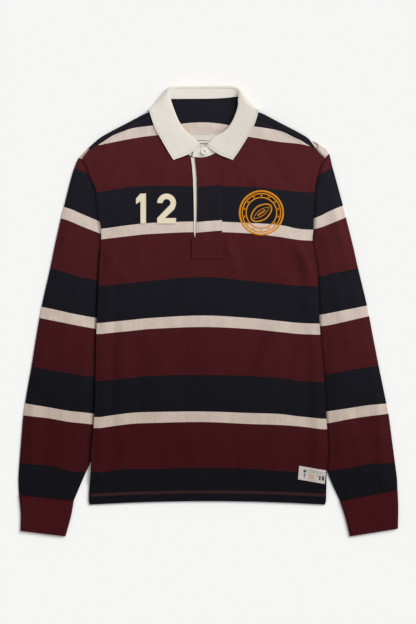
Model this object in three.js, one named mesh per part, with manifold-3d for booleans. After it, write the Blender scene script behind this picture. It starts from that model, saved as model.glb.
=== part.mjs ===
// Rugby shirt laid flat: a hooped jersey body and sleeves, twill collar, button placket and rib cuffs.
// Millimetres. X runs across the shirt, Y up it towards the collar, Z up from the surface it lies on.
import * as THREE from "three";
import { mergeVertices } from "three/addons/utils/BufferGeometryUtils.js";
import Module from "manifold-3d";

const wasm = await Module();
wasm.setup();

// Wall thickness of each cloth, and the gap left where two pieces are sewn or lie together
const JERSEY = 1.4;
const SLEEVE_WALL = 1.3;
const TWILL = 1.8;
const RIB = 1.9;
const FELT = 1;
const TAPE = 1;
const GAP = 0.3;
const SHOULDER_CLEAR = 0.8;

// Heights up the shirt: hem, underarm, and the row where the collar's shape starts to bend the rows
const HEM_Y = -349;
const UNDERARM_Y = 126;
const BEND_FROM_Y = 60;
const CORNER_Y = 290.5;

// The hem bows up a little towards its middle, and rows above it less and less
const HEM_BOW = 6.5;
const BOW_FADE = 120;

// The collar's middle line lies a little to the left of the shirt's own
const COLLAR_X = -8;

// How far the front stands off the back, and how wide its soft edge is
const LOFT = 2.6;
const EDGE_SOFT = 30;
const ARMHOLE_LOFT = 0.6;

// The back rises over the sleeves tucked below its sides, and over the collar's fall behind the neck
const TUCK_RISE = 3.5;
const TUCK_FULL = 13;
const TUCK_FADE = 22;
const TUCK_TOP_Y = 106;
const TUCK_END_LEFT_Y = -296;
const TUCK_END_RIGHT_Y = -318;
const TUCK_END_FADE = 24;
const FALL_RISE = 2.2;
const FALL_FULL_X = 98;
const FALL_FADE_X = 122;
const FALL_FROM_Y = 314;
const FALL_FULL_Y = 336;

// Side seams and armholes: the left and right edge of the body at each height
const BODY_EDGE = [
  { y: -349, left: -214.3, right: 210.9 },
  { y: -288, left: -211.8, right: 213 },
  { y: -247, left: -210.3, right: 215.6 },
  { y: -204, left: -205.7, right: 213.2 },
  { y: -128, left: -203, right: 209.3 },
  { y: -42, left: -201.2, right: 201.5 },
  { y: 48, left: -197.4, right: 197.6 },
  { y: 85, left: -195.6, right: 194.5 },
  { y: 126, left: -192.9, right: 187.8 },
  { y: 146, left: -193.1, right: 189.3 },
  { y: 166, left: -196.8, right: 190 },
  { y: 191, left: -200.1, right: 191.8 },
  { y: 215, left: -202.1, right: 192.7 },
  { y: 237, left: -210.7, right: 195.8 },
  { y: 251, left: -215.4, right: 199.4 },
  { y: 264, left: -220, right: 203.4 },
  { y: 274.5, left: -226, right: 210.2 },
  { y: 283, left: -220, right: 204 },
  { y: 290.5, left: -214, right: 198 },
];

// Top edges by distance from the collar's middle line: the front's cut edge on each side, and
// the edge of the back, which is its neck seam near the middle and the shoulder fold further out
const TOP_EDGE = [
  { across: 0, left: 274, right: 274, back: 381.6, wrap: 0 },
  { across: 23, left: 277.6, right: 277.6, back: 381.6, wrap: 0 },
  { across: 46, left: 292.5, right: 292.5, back: 381.3, wrap: 0 },
  { across: 60, left: 311, right: 311, back: 380.5, wrap: 0 },
  { across: 68, left: 328, right: 328, back: 374.5, wrap: 0 },
  { across: 74, left: 346, right: 343, back: 368, wrap: 0.35 },
  { across: 80, left: 357, right: 350, back: 365.2, wrap: 0.8 },
  { across: 96, left: 352.5, right: 345.5, back: 358.4, wrap: 1 },
  { across: 108, left: 348, right: 341, back: 354.2, wrap: 1 },
  { across: 121, left: 342, right: 336, back: 347.4, wrap: 1 },
  { across: 146, left: 326.9, right: 322.5, back: 334.2, wrap: 1 },
  { across: 168, left: 313, right: 311, back: 322.8, wrap: 1 },
  { across: 189, left: 299.5, right: 298, back: 310, wrap: 1 },
  { across: 206, left: 290.5, right: 290.5, back: 294.5, wrap: 1 },
];

// Creases of the front: a soft ridge (or trough, below zero) along a line from a to b
const FRONT_CREASES = [
  { ax: 205, ay: 128, bx: 158, by: 62, width: 9, height: 2.6 },
  { ax: 192, ay: 96, bx: 150, by: 40, width: 12, height: -1.8 },
  { ax: 104, ay: -30, bx: 58, by: -124, width: 13, height: -2.2 },
  { ax: 128, ay: -26, bx: 84, by: -140, width: 14, height: 2.4 },
  { ax: 154, ay: -56, bx: 130, by: -168, width: 11, height: -2 },
  { ax: 152, ay: -206, bx: 80, by: -292, width: 14, height: 2.2 },
  { ax: 118, ay: -196, bx: 60, by: -268, width: 12, height: -1.6 },
  { ax: 22, ay: 146, bx: 46, by: 80, width: 9, height: 2.2 },
  { ax: -22, ay: 110, bx: -44, by: 20, width: 13, height: 1.8 },
  { ax: -172, ay: -8, bx: -180, by: -226, width: 10, height: -2 },
  { ax: -150, ay: 30, bx: -158, by: -190, width: 12, height: 2.2 },
  { ax: -186, ay: 110, bx: -140, by: 40, width: 10, height: 2.2 },
  { ax: 178, ay: -6, bx: 184, by: -220, width: 10, height: -1.8 },
  { ax: -96, ay: -60, bx: -70, by: -220, width: 18, height: 1.6 },
  { ax: -60, ay: 262, bx: -112, by: 196, width: 12, height: 2 },
  { ax: 62, ay: 258, bx: 110, by: 206, width: 12, height: 1.8 },
];

// Sleeves laid flat, from the shoulder to the wrist: outer fold and inner fold in plan, the
// height between them, and how far the inner edge is pressed thin where the body lies on it
const SLEEVE_ROWS = {
  left: [
    { ox: -205, oy: 304, ix: -184, iy: 286, high: 4.4, pressed: 0 },
    { ox: -219, oy: 291, ix: -184, iy: 263, high: 4.6, pressed: 0 },
    { ox: -233, oy: 276, ix: -180, iy: 239, high: 5, pressed: 0 },
    { ox: -239, oy: 258, ix: -180, iy: 218, high: 5.2, pressed: 0 },
    { ox: -250, oy: 233, ix: -180, iy: 194, high: 5.4, pressed: 0 },
    { ox: -260, oy: 188, ix: -180, iy: 160, high: 5.6, pressed: 0 },
    { ox: -266, oy: 165, ix: -182, iy: 138, high: 5.6, pressed: 0.3 },
    { ox: -276, oy: 120, ix: -193.4, iy: 115, high: 5.8, pressed: 0.8 },
    { ox: -285, oy: 76, ix: -187.5, iy: 70, high: 6, pressed: 1 },
    { ox: -300, oy: 9, ix: -189.5, iy: 5, high: 6, pressed: 1 },
    { ox: -310, oy: -47, ix: -192, iy: -49, high: 6, pressed: 1 },
    { ox: -319, oy: -103, ix: -193.5, iy: -103, high: 6, pressed: 1 },
    { ox: -326, oy: -142, ix: -194.5, iy: -142, high: 6, pressed: 1 },
    { ox: -333, oy: -187, ix: -197, iy: -187, high: 6, pressed: 1 },
    { ox: -337, oy: -232, ix: -203, iy: -234, high: 6, pressed: 1 },
    { ox: -340, oy: -270, ix: -213, iy: -272, high: 5.6, pressed: 1 },
    { ox: -342, oy: -304, ix: -227, iy: -301, high: 5.2, pressed: 0.4 },
    { ox: -341, oy: -330.4, ix: -242, iy: -341.2, high: 4.6, pressed: 0 },
  ],
  right: [
    { ox: 181, oy: 309, ix: 165, iy: 286, high: 4.4, pressed: 0 },
    { ox: 200, oy: 300, ix: 171, iy: 261, high: 4.6, pressed: 0 },
    { ox: 216, oy: 287, ix: 174, iy: 239, high: 5, pressed: 0 },
    { ox: 224, oy: 259, ix: 176, iy: 218, high: 5.2, pressed: 0 },
    { ox: 234, oy: 223, ix: 176, iy: 194, high: 5.4, pressed: 0 },
    { ox: 243, oy: 189, ix: 176, iy: 160, high: 5.6, pressed: 0 },
    { ox: 249, oy: 165, ix: 178, iy: 138, high: 5.6, pressed: 0.3 },
    { ox: 261, oy: 117, ix: 191, iy: 113, high: 5.8, pressed: 0.8 },
    { ox: 270, oy: 77, ix: 188.6, iy: 70, high: 6, pressed: 1 },
    { ox: 286, oy: 10, ix: 191.5, iy: 5, high: 6, pressed: 1 },
    { ox: 297, oy: -47, ix: 194.5, iy: -49, high: 6, pressed: 1 },
    { ox: 308, oy: -103, ix: 199, iy: -103, high: 6, pressed: 1 },
    { ox: 316, oy: -142, ix: 202.5, iy: -142, high: 6, pressed: 1 },
    { ox: 325, oy: -187, ix: 205, iy: -187, high: 6, pressed: 1 },
    { ox: 331, oy: -232, ix: 208, iy: -234, high: 6, pressed: 1 },
    { ox: 336, oy: -270, ix: 210, iy: -272, high: 5.6, pressed: 1 },
    { ox: 340, oy: -301, ix: 220, iy: -304, high: 5.2, pressed: 0.7 },
    { ox: 341, oy: -321.6, ix: 238, iy: -342.6, high: 4.6, pressed: 0 },
  ],
};

// Creases of the sleeves, mostly lengthwise
const SLEEVE_CREASES = [
  { ax: -292, ay: -150, bx: -294, by: -316, width: 8, height: -1.6 },
  { ax: -316, ay: -120, bx: -318, by: -318, width: 9, height: 1.8 },
  { ax: -262, ay: -170, bx: -258, by: -312, width: 9, height: 1.7 },
  { ax: -236, ay: 40, bx: -268, by: -110, width: 11, height: 1.9 },
  { ax: -252, ay: 176, bx: -262, by: 96, width: 10, height: 1.6 },
  { ax: -222, ay: 120, bx: -216, by: -20, width: 10, height: -1.4 },
  { ax: 262, ay: -156, bx: 272, by: -226, width: 9, height: -1.6 },
  { ax: 302, ay: -120, bx: 314, by: -300, width: 9, height: 1.8 },
  { ax: 258, ay: -190, bx: 280, by: -318, width: 9, height: 1.6 },
  { ax: 226, ay: 60, bx: 262, by: -90, width: 11, height: 1.9 },
  { ax: 222, ay: 210, bx: 244, by: 110, width: 10, height: 1.6 },
  { ax: 214, ay: 90, bx: 222, by: -40, width: 10, height: -1.4 },
];

// Rib cuffs in plan: outer and inner edge from the wrist seam to the cuff's end
const CUFF_ROWS = {
  left: [
    { ox: -341, oy: -330.8, ix: -242, iy: -341.6 },
    { ox: -337.8, oy: -366, ix: -247.2, iy: -370 },
    { ox: -338.4, oy: -396, ix: -257, iy: -406 },
  ],
  right: [
    { ox: 341.1, oy: -322, ix: 238.1, iy: -343 },
    { ox: 342.4, oy: -355, ix: 246.8, iy: -372 },
    { ox: 341.8, oy: -392, ix: 255, iy: -406 },
  ],
};
const CUFF_HIGH = 5.4;
const CUFF_RIBS = 27;
const CUFF_RIB_DEPTH = 0.5;

// Collar, half of it from the front to the back, by distance from its middle line. The stand
// runs from the neck seam up to the fold. The fall lies outside the fold and ends in a free
// edge, and from the first turned row on it bends at the turn and runs on below the shirt.
const COLLAR_ROWS = [
  { neckX: 0, neckY: 275, neckZ: 5, foldX: 5, foldY: 297, foldZ: 9.6, edgeX: 54.5, edgeY: 271.6 },
  { neckX: 23, neckY: 278.8, neckZ: 5, foldX: 17.6, foldY: 310.3, foldZ: 9.9, edgeX: 64.6, edgeY: 287.8 },
  { neckX: 45, neckY: 294, neckZ: 5.2, foldX: 32.9, foldY: 323.8, foldZ: 10.3, edgeX: 77, edgeY: 309.4 },
  { neckX: 62.4, neckY: 319, neckZ: 5.4, foldX: 43.7, foldY: 340, foldZ: 10.8, edgeX: 88, edgeY: 329.6 },
  { neckX: 70.6, neckY: 343, neckZ: 6, foldX: 52, foldY: 360, foldZ: 11.4, edgeX: 96, edgeY: 352.5 },
  { neckX: 72.6, neckY: 356, neckZ: 6.3, foldX: 56, foldY: 372, foldZ: 11.8, edgeX: 97.5, edgeY: 359.5 },
  { neckX: 73.4, neckY: 361, neckZ: 6.3, foldX: 57.4, foldY: 376, foldZ: 12, edgeX: 97.8, edgeY: 360.6 },
  { neckX: 74, neckY: 365, neckZ: 6.3, foldX: 58.4, foldY: 379, foldZ: 12, edgeX: 91.5, edgeY: 354.5 },
  { neckX: 73.4, neckY: 371.6, neckZ: 6, foldX: 60, foldY: 385, foldZ: 12, edgeX: 83, edgeY: 351.4 },
  { neckX: 69, neckY: 376.6, neckZ: 5.2, foldX: 60.6, foldY: 392, foldZ: 12, edgeX: 74.5, edgeY: 353 },
  { neckX: 61, neckY: 381.4, neckZ: 4.4, foldX: 59.4, foldY: 398.4, foldZ: 12, edgeX: 65, edgeY: 355 },
  { neckX: 44, neckY: 382, neckZ: 3.7, foldX: 50.4, foldY: 401.8, foldZ: 12, edgeX: 45, edgeY: 357.6 },
  { neckX: 22, neckY: 382.2, neckZ: 3.5, foldX: 25, foldY: 402.4, foldZ: 12, edgeX: 22, edgeY: 359.2 },
  { neckX: 0, neckY: 382.2, neckZ: 3.5, foldX: 0, foldY: 402.4, foldZ: 12, edgeX: 0, edgeY: 359.8 },
];

// Where the turned rows of the fall bend, and where they reach the floor below the shirt
const FIRST_TURNED = 6;
const COLLAR_TURNS = [
  { turnX: 97.4, turnY: 363.4, underX: 98.4, underY: 361.8 },
  { turnX: 92, turnY: 367.6, underX: 90.2, underY: 361.6 },
  { turnX: 82.4, turnY: 379, underX: 79.6, underY: 372 },
  { turnX: 73.6, turnY: 390, underX: 70.6, underY: 383 },
  { turnX: 65, turnY: 400.4, underX: 62, underY: 393 },
  { turnX: 51.4, turnY: 404, underX: 50, underY: 397 },
  { turnX: 25, turnY: 404, underX: 24.6, underY: 397 },
  { turnX: 0, turnY: 404, underX: 0, underY: 397 },
];

// On the right the fold lies further out, most of all at the middle of the leaf, and the front
// edge of each leaf bows down
const FOLD_OUT = [
  { row: 0, left: 0, right: 0 },
  { row: 3, left: 0, right: 4.5 },
  { row: 6, left: 0, right: 0 },
];
const LEAF_BOW = 3.6;
const LEAF_CLEAR = 0.65;
const TURN_Z = 4.8;
const CROWN_PLACE = 0.45;
const CROWN_DROP = 0.7;
const STAND_BELOW_FOLD = 2.4;
const FALL_STEPS = 10;
const STAND_STEPS = 4;

// The stand's buttoned end passes the middle line and stops below the other leaf
const STAND_MIDDLE = { neckX: 0, neckY: 275, neckZ: 5, foldX: 0, foldY: 294.5, foldZ: 9.2 };
const STAND_END = { neckX: -20.5, neckY: 278, neckZ: 5, foldX: -15.6, foldY: 306.5, foldZ: 9.8 };

// Placket: the wearer's left edge laps over, with the facing of the other edge showing beside
// it, and its lower end widens to a stitched box. Left edges by height, right edge constant.
const PLACKET_EDGE = [
  { y: 94, left: -29.3, right: 26 },
  { y: 106, left: -29.3, right: 26 },
  { y: 118, left: -29.2, right: 26 },
  { y: 130, left: -29, right: 25.8 },
  { y: 131.4, left: -23.2, right: 25 },
  { y: 145, left: -21.4, right: 24.8 },
  { y: 172, left: -20.6, right: 24.8 },
  { y: 200, left: -20.3, right: 24.8 },
  { y: 236, left: -20.6, right: 24.8 },
  { y: 256, left: -22.2, right: 24.8 },
  { y: 272, left: -24.2, right: 24.8 },
];
const FACING_EDGE = [
  { y: 132.4, left: -24.6, right: -16 },
  { y: 144, left: -25.8, right: -14 },
  { y: 172, left: -25.6, right: -12 },
  { y: 210, left: -26.4, right: -12 },
  { y: 237, left: -27.4, right: -12 },
  { y: 258, left: -29.2, right: -12 },
  { y: 272, left: -31.4, right: -12 },
];
const SLIT_X = -14;
const SLIT_WIDTH = 1.2;
const SLIT_FOOT_Y = 118;
const SLIT_TOP_Y = 400;

// How high the blocks are that cut the cloth
const CUT_HIGH = 60;

// Small parts
const BUTTON = { x: -7.6, y: 286.4, z: 7.9, radius: 5.8, high: 2.6, dish: 3.7, rim: 0.7 };
const NECK_LABEL = { x: -8, top: 317.2, wide: 84, long: 38 };
const HEM_LABEL = { x: 186.2, y: -294.2, wide: 49.6, long: 25.2, turn: -0.166 };
const NUMERAL_HIGH = 54;
const ONE = { stemX: 8, flagTop: 9, flagFoot: 19, flagJoin: 14 };
const TWO = { wide: 34, neckX: 4, neckIn: 3, neckDown: 11, turn: -0.5 };
const NUMERAL_BAR = 10;
const NUMERAL_Y = 184;
const NUMERALS = { one: -130, two: -92 };

// A smooth value of one column of a table at a place on its key column, whose rows rise
function along(table, key, column, at) {
  const last = table.length - 1;
  const place = Math.min(Math.max(at, table[0][key]), table[last][key]);
  let row = 0;
  while (row < last - 1 && place > table[row + 1][key]) row += 1;
  const slope = (i) => {
    const before = table[Math.max(i - 1, 0)];
    const after = table[Math.min(i + 1, last)];
    return (after[column] - before[column]) / (after[key] - before[key]);
  };
  const span = table[row + 1][key] - table[row][key];
  const t = (place - table[row][key]) / span;
  const rise = table[row + 1][column] - table[row][column];
  const start = slope(row) * span - rise;
  const end = rise - slope(row + 1) * span;
  return table[row][column] + rise * t + t * (1 - t) * (start * (1 - t) + end * t);
}

// From 0 to 1 and level at both ends, as a place passes from one value to another
function ease(from, to, at) {
  const t = Math.min(Math.max((at - from) / (to - from), 0), 1);
  return t * t * (3 - 2 * t);
}

// How far into its fade a crease starts and ends
const CREASE_END = 0.15;

// Height added by a set of creases: each fades sideways, and along its line towards both ends
function creased(creases, x, y) {
  let sum = 0;
  for (const crease of creases) {
    const dx = crease.bx - crease.ax;
    const dy = crease.by - crease.ay;
    const long = Math.hypot(dx, dy);
    const t = ((x - crease.ax) * dx + (y - crease.ay) * dy) / long ** 2;
    const off = ((x - crease.ax) * dy - (y - crease.ay) * dx) / long;
    const inside = Math.min(Math.max(t, 0), 1);
    const past = (t - inside) * long;
    const fade = Math.sin(Math.PI * (CREASE_END + (1 - 2 * CREASE_END) * inside));
    sum += crease.height * fade * Math.exp(-(off ** 2 + past ** 2) / crease.width ** 2);
  }
  return sum;
}

// Distance of a point of the body from the nearer side edge, and which side that is
function fromSide(x, y) {
  const left = x - along(BODY_EDGE, "y", "left", y);
  const right = along(BODY_EDGE, "y", "right", y) - x;
  return left < right ? { side: "left", inside: left } : { side: "right", inside: right };
}

// Underside of the back: flat on the floor, raised over the tucked sleeves and the collar's fall
function backUnder(x, y) {
  const { side, inside } = fromSide(x, y);
  const endY = side === "left" ? TUCK_END_LEFT_Y : TUCK_END_RIGHT_Y;
  const beside = 1 - ease(TUCK_FULL, TUCK_FULL + TUCK_FADE, inside);
  const upTo = 1 - ease(TUCK_TOP_Y, UNDERARM_Y - 4, y);
  const tuck = TUCK_RISE * beside * upTo * ease(endY - TUCK_END_FADE, endY, y);
  const near = 1 - ease(FALL_FULL_X, FALL_FADE_X, Math.abs(x - COLLAR_X));
  const fall = FALL_RISE * near * ease(FALL_FROM_Y, FALL_FULL_Y, y);
  return Math.max(tuck, fall);
}

// Middle of the back's wall
function backMiddle(x, y) {
  return backUnder(x, y) + JERSEY / 2;
}

// Middle of the front's wall: it lies on the back at the sides and hem and stands off it inside
function frontMiddle(x, y) {
  const soft = ease(-4, EDGE_SOFT, fromSide(x, y).inside);
  const sewn = ARMHOLE_LOFT * ease(UNDERARM_Y - 20, UNDERARM_Y + 30, y);
  const hem = 0.25 + 0.75 * ease(HEM_Y, HEM_Y + 60, y);
  const loft = LOFT * Math.max(soft, sewn) * hem;
  const shape = creased(FRONT_CREASES, x, y) * ease(0, 26, fromSide(x, y).inside) * hem;
  return backMiddle(x, y) + JERSEY + GAP + Math.max(loft + shape, 0.05);
}

// Top of the front's wall
function frontTop(x, y) {
  return frontMiddle(x, y) + JERSEY / 2;
}

// A top edge of the body above a place across it
function topEdge(column, x) {
  const across = x - COLLAR_X;
  const side = across < 0 ? "left" : "right";
  return along(TOP_EDGE, "across", column === "front" ? side : column, Math.abs(across));
}

// A closed solid of points and triangles, turned to face out
function closedSolid(points, triangles) {
  let volume = 0;
  for (const [a, b, c] of triangles) {
    volume += points[a].dot(new THREE.Vector3().crossVectors(points[b], points[c]));
  }
  const facing = volume < 0 ? triangles.map(([a, b, c]) => [a, c, b]) : triangles;
  const geometry = new THREE.BufferGeometry();
  geometry.setAttribute("position", new THREE.Float32BufferAttribute(points.flatMap((p) => p.toArray()), 3));
  geometry.setIndex(facing.flat());
  return geometry;
}

// Two triangles for four corners in order
function quad(a, b, c, d) {
  return [
    [a, b, c],
    [a, c, d],
  ];
}

// Normal of a grid of points at one of them
function gridNormal(rows, i, j) {
  const up = rows[Math.min(i + 1, rows.length - 1)][j].clone().sub(rows[Math.max(i - 1, 0)][j]);
  const line = rows[i];
  const right = line[Math.min(j + 1, line.length - 1)].clone().sub(line[Math.max(j - 1, 0)]);
  return right.cross(up).normalize();
}

// A cloth wall: a grid of points on its middle, thickened to both sides
function clothWall(rows, thickness) {
  const high = rows.length;
  const wide = rows[0].length;
  const points = [1, -1].flatMap((face) =>
    rows.flatMap((line, i) =>
      line.map((p, j) => p.clone().addScaledVector(gridNormal(rows, i, j), (face * thickness) / 2)),
    ),
  );
  const at = (face, i, j) => face * high * wide + i * wide + j;
  const triangles = [];
  for (let i = 0; i < high - 1; i += 1) {
    for (let j = 0; j < wide - 1; j += 1) {
      triangles.push(...quad(at(0, i, j), at(0, i, j + 1), at(0, i + 1, j + 1), at(0, i + 1, j)));
      triangles.push(...quad(at(1, i, j), at(1, i + 1, j), at(1, i + 1, j + 1), at(1, i, j + 1)));
    }
  }
  const side = wide - 1;
  for (let i = 0; i < high - 1; i += 1) {
    triangles.push(...quad(at(0, i, 0), at(0, i + 1, 0), at(1, i + 1, 0), at(1, i, 0)));
    triangles.push(...quad(at(0, i + 1, side), at(0, i, side), at(1, i, side), at(1, i + 1, side)));
  }
  const end = high - 1;
  for (let j = 0; j < wide - 1; j += 1) {
    triangles.push(...quad(at(0, 0, j + 1), at(0, 0, j), at(1, 0, j), at(1, 0, j + 1)));
    triangles.push(...quad(at(0, end, j), at(0, end, j + 1), at(1, end, j + 1), at(1, end, j)));
  }
  return closedSolid(points, triangles);
}

// An open tube: outer and inner rings with the same number of points, joined at both ends
function clothTube(outer, inner) {
  const around = outer[0].length;
  const points = [...outer, ...inner].flat();
  const at = (layer, i, k) => (layer * outer.length + i) * around + (k % around);
  const triangles = [];
  for (let k = 0; k < around; k += 1) {
    for (let i = 0; i < outer.length - 1; i += 1) {
      triangles.push(...quad(at(0, i, k), at(0, i, k + 1), at(0, i + 1, k + 1), at(0, i + 1, k)));
      triangles.push(...quad(at(1, i, k), at(1, i + 1, k), at(1, i + 1, k + 1), at(1, i, k + 1)));
    }
    const last = outer.length - 1;
    triangles.push(...quad(at(0, 0, k + 1), at(0, 0, k), at(1, 0, k), at(1, 0, k + 1)));
    triangles.push(...quad(at(0, last, k), at(0, last, k + 1), at(1, last, k + 1), at(1, last, k)));
  }
  return closedSolid(points, triangles);
}

// A geometry as a solid that can be cut
function asSolid(geometry) {
  const bare = geometry.clone();
  bare.deleteAttribute("normal");
  bare.deleteAttribute("uv");
  const merged = mergeVertices(bare, 1e-4);
  return new wasm.Manifold(
    new wasm.Mesh({
      numProp: 3,
      vertProperties: new Float32Array(merged.attributes.position.array),
      triVerts: new Uint32Array(merged.index.array),
    }),
  );
}

// One geometry with another cut away
function cutAway(geometry, cutter) {
  const cut = asSolid(geometry).subtract(asSolid(cutter)).getMesh();
  const result = new THREE.BufferGeometry();
  result.setAttribute("position", new THREE.BufferAttribute(cut.vertProperties, 3));
  result.setIndex(new THREE.BufferAttribute(cut.triVerts, 1));
  return result;
}

// Where the neck's closer columns start and end across the body
const NECK_FROM = 0.29;
const NECK_TO = 0.7;

// Columns of the body from the left edge (0) to the right (1), closer together at the neck
function bodyColumns(outer, inner) {
  const columns = [];
  for (let i = 0; i < outer; i += 1) columns.push((NECK_FROM * i) / outer);
  for (let i = 0; i < inner; i += 1) columns.push(NECK_FROM + ((NECK_TO - NECK_FROM) * i) / inner);
  for (let i = 0; i <= outer; i += 1) columns.push(NECK_TO + ((1 - NECK_TO) * i) / outer);
  return columns;
}

// Plan of a row of the body: straight across, bent up towards the top edge
function bodyRow(rowY, topY, columns, edge) {
  const left = along(BODY_EDGE, "y", "left", rowY);
  const right = along(BODY_EDGE, "y", "right", rowY);
  const bend = Math.max((rowY - BEND_FROM_Y) / (topY - BEND_FROM_Y), 0) ** 2;
  const bow = HEM_BOW * (1 - ease(HEM_Y, HEM_Y + BOW_FADE, rowY));
  return columns.map((u) => {
    const x = left + (right - left) * u;
    return { x, y: rowY + (edge(x) - topY) * bend + bow * (1 - (2 * u - 1) ** 2) };
  });
}

// Heights of the rows of a panel, closer together near the top
function rowHeights(topY, count) {
  return Array.from({ length: count + 1 }, (_, i) => HEM_Y + (topY - HEM_Y) * (i / count) ** 0.9);
}

const BODY_ROWS = rowHeights(CORNER_Y, 32);

function frontPanel() {
  const columns = bodyColumns(8, 12);
  const rows = BODY_ROWS.map((rowY) =>
    bodyRow(rowY, CORNER_Y, columns, (x) => topEdge("front", x)).map(
      ({ x, y }) => new THREE.Vector3(x, y, frontMiddle(x, y)),
    ),
  );
  const long = SLIT_TOP_Y - SLIT_FOOT_Y;
  const slit = new THREE.BoxGeometry(SLIT_WIDTH, long, CUT_HIGH);
  slit.translate(SLIT_X, SLIT_FOOT_Y + long / 2, 0);
  return cutAway(clothWall(rows, JERSEY), slit);
}

// The back's underside is even between two heights, and it turns at its shoulder fold within
// a few millimetres
const EVEN_FROM_Y = -265;
const EVEN_TO_Y = 60;
const FOLD_ROOM = 4;

// Whether the back needs a row of points at this height
function backHasRow(rowY, i) {
  return i % 2 === 0 || rowY < EVEN_FROM_Y || rowY > EVEN_TO_Y;
}

// The back lies flat to the shoulder fold, turns over it and ends in a strip sewn to the front
function backPanel() {
  const columns = bodyColumns(8, 12);
  const edgeOf = (x) => topEdge("back", x);
  const flatRows = BODY_ROWS.filter(backHasRow).map((rowY) =>
    bodyRow(rowY, CORNER_Y, columns, (x) => edgeOf(x) - FOLD_ROOM).map(
      ({ x, y }) => new THREE.Vector3(x, y, backMiddle(x, y)),
    ),
  );
  const lastRow = flatRows[flatRows.length - 1];
  const strip = [
    { out: 0.6, up: 0.5, seam: 0 },
    { out: 2.2, up: 0.95, seam: 0 },
    { out: 2.2, up: 1, seam: 0.5 },
    { out: 2.2, up: 1, seam: 1 },
  ];
  const stripRows = strip.map(({ out, up, seam }, i) =>
    lastRow.map(({ x, y }) => {
      const wrap = topEdge("wrap", x);
      const seamY = Math.min(topEdge("front", x) + GAP + 0.15, edgeOf(x) - 3);
      const over = THREE.MathUtils.lerp(edgeOf(x) - out, seamY, seam);
      const flat = y + (FOLD_ROOM * (i + 1)) / strip.length;
      const top = frontMiddle(x, seamY);
      const z = THREE.MathUtils.lerp(backMiddle(x, y), top, up * wrap);
      return new THREE.Vector3(x, THREE.MathUtils.lerp(flat, over, wrap), z);
    }),
  );
  return clothWall([...flatRows, ...stripRows], JERSEY);
}

// Plan of the body between two heights on one side, grown by the seam gap, as a tall block
function bodyBlock(side) {
  const shape = new THREE.Shape();
  const sign = side === "left" ? -1 : 1;
  const middle = sign * 60;
  shape.moveTo(middle, TUCK_TOP_Y);
  const atEdge = [side === "left" ? 0 : 1];
  for (const rowY of [TUCK_TOP_Y, ...BODY_ROWS.filter((y) => y > TUCK_TOP_Y)]) {
    const [{ x, y }] = bodyRow(rowY, CORNER_Y, atEdge, (at) => topEdge("front", at));
    shape.lineTo(x + sign * GAP, y);
  }
  const cornerX = along(BODY_EDGE, "y", side, CORNER_Y);
  shape.lineTo(cornerX + sign * SHOULDER_CLEAR, topEdge("back", cornerX));
  for (let across = Math.abs(cornerX - COLLAR_X) - 2; across >= 60; across -= 6) {
    const x = COLLAR_X + sign * across;
    shape.lineTo(x, topEdge("back", x) + SHOULDER_CLEAR);
  }
  const block = new THREE.ExtrudeGeometry(shape, { depth: CUT_HIGH, bevelEnabled: false });
  block.translate(0, 0, -CUT_HIGH / 2);
  return block;
}

const SLEEVE_AROUND = 12;
const PRESSED_HIGH = 3;
const PRESSED_WIDE = 14;
const FOLD_LEAD = 2;
const FOLD_SOFT = 20;
const FOLD_Z = 1.5;

// Top of a sleeve at a place between its outer (0) and inner (1) fold
function sleeveTop(row, place, wide, x, y) {
  const outer = ease(-FOLD_LEAD, FOLD_SOFT, place * wide);
  const reach = PRESSED_WIDE * row.pressed;
  const inner = ease(reach - FOLD_LEAD, reach + FOLD_SOFT, (1 - place) * wide);
  const soft = Math.min(outer, inner);
  return PRESSED_HIGH + (row.high - PRESSED_HIGH + creased(SLEEVE_CREASES, x, y)) * soft;
}

// A ring across a flat tube: the upper layer from the outer fold to the inner, the lower one back
function flatRing(row, inset, topOf) {
  const wide = Math.hypot(row.ix - row.ox, row.iy - row.oy);
  const ring = [];
  for (let k = 0; k < 2 * SLEEVE_AROUND; k += 1) {
    const across = (1 - Math.cos((Math.PI * k) / SLEEVE_AROUND)) / 2;
    const place = inset / wide + across * (1 - (2 * inset) / wide);
    const x = THREE.MathUtils.lerp(row.ox, row.ix, place);
    const y = THREE.MathUtils.lerp(row.oy, row.iy, place);
    const atFold = k % SLEEVE_AROUND === 0;
    const layer = k < SLEEVE_AROUND ? topOf(row, across, wide, x, y) - inset : inset;
    ring.push(new THREE.Vector3(x, y, atFold ? FOLD_Z : layer));
  }
  return ring;
}

function sleeve(side) {
  const rows = SLEEVE_ROWS[side];
  const outer = rows.map((row) => flatRing(row, 0, sleeveTop));
  const inner = rows.map((row) => flatRing(row, SLEEVE_WALL, sleeveTop));
  return cutAway(clothTube(outer, inner), bodyBlock(side));
}

// A cuff: a flat tube whose ribs are raised on the outside over a plain inside
function cuff(side) {
  const rows = CUFF_ROWS[side];
  const half = CUFF_RIBS * 2;
  const ringOf = (row, inset) => {
    const wide = Math.hypot(row.ix - row.ox, row.iy - row.oy);
    const ring = [];
    for (let k = 0; k < 2 * half; k += 1) {
      const angle = (Math.PI * k) / half;
      const across = k < half ? k / half : 2 - k / half;
      const round = Math.min(Math.abs(Math.sin(angle)) * 6, 1);
      const rib = inset === 0 && k % 2 === 0 ? CUFF_RIB_DEPTH : 0;
      const place = inset / wide + across * (1 - (2 * inset) / wide);
      const reach = (CUFF_HIGH / 2 - inset) * round - rib * round;
      const z = CUFF_HIGH / 2 + (k < half ? reach : -reach);
      ring.push(
        new THREE.Vector3(
          THREE.MathUtils.lerp(row.ox, row.ix, place),
          THREE.MathUtils.lerp(row.oy, row.iy, place),
          z,
        ),
      );
    }
    return ring;
  };
  return clothTube(
    rows.map((row) => ringOf(row, 0)),
    rows.map((row) => ringOf(row, RIB)),
  );
}

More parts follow.
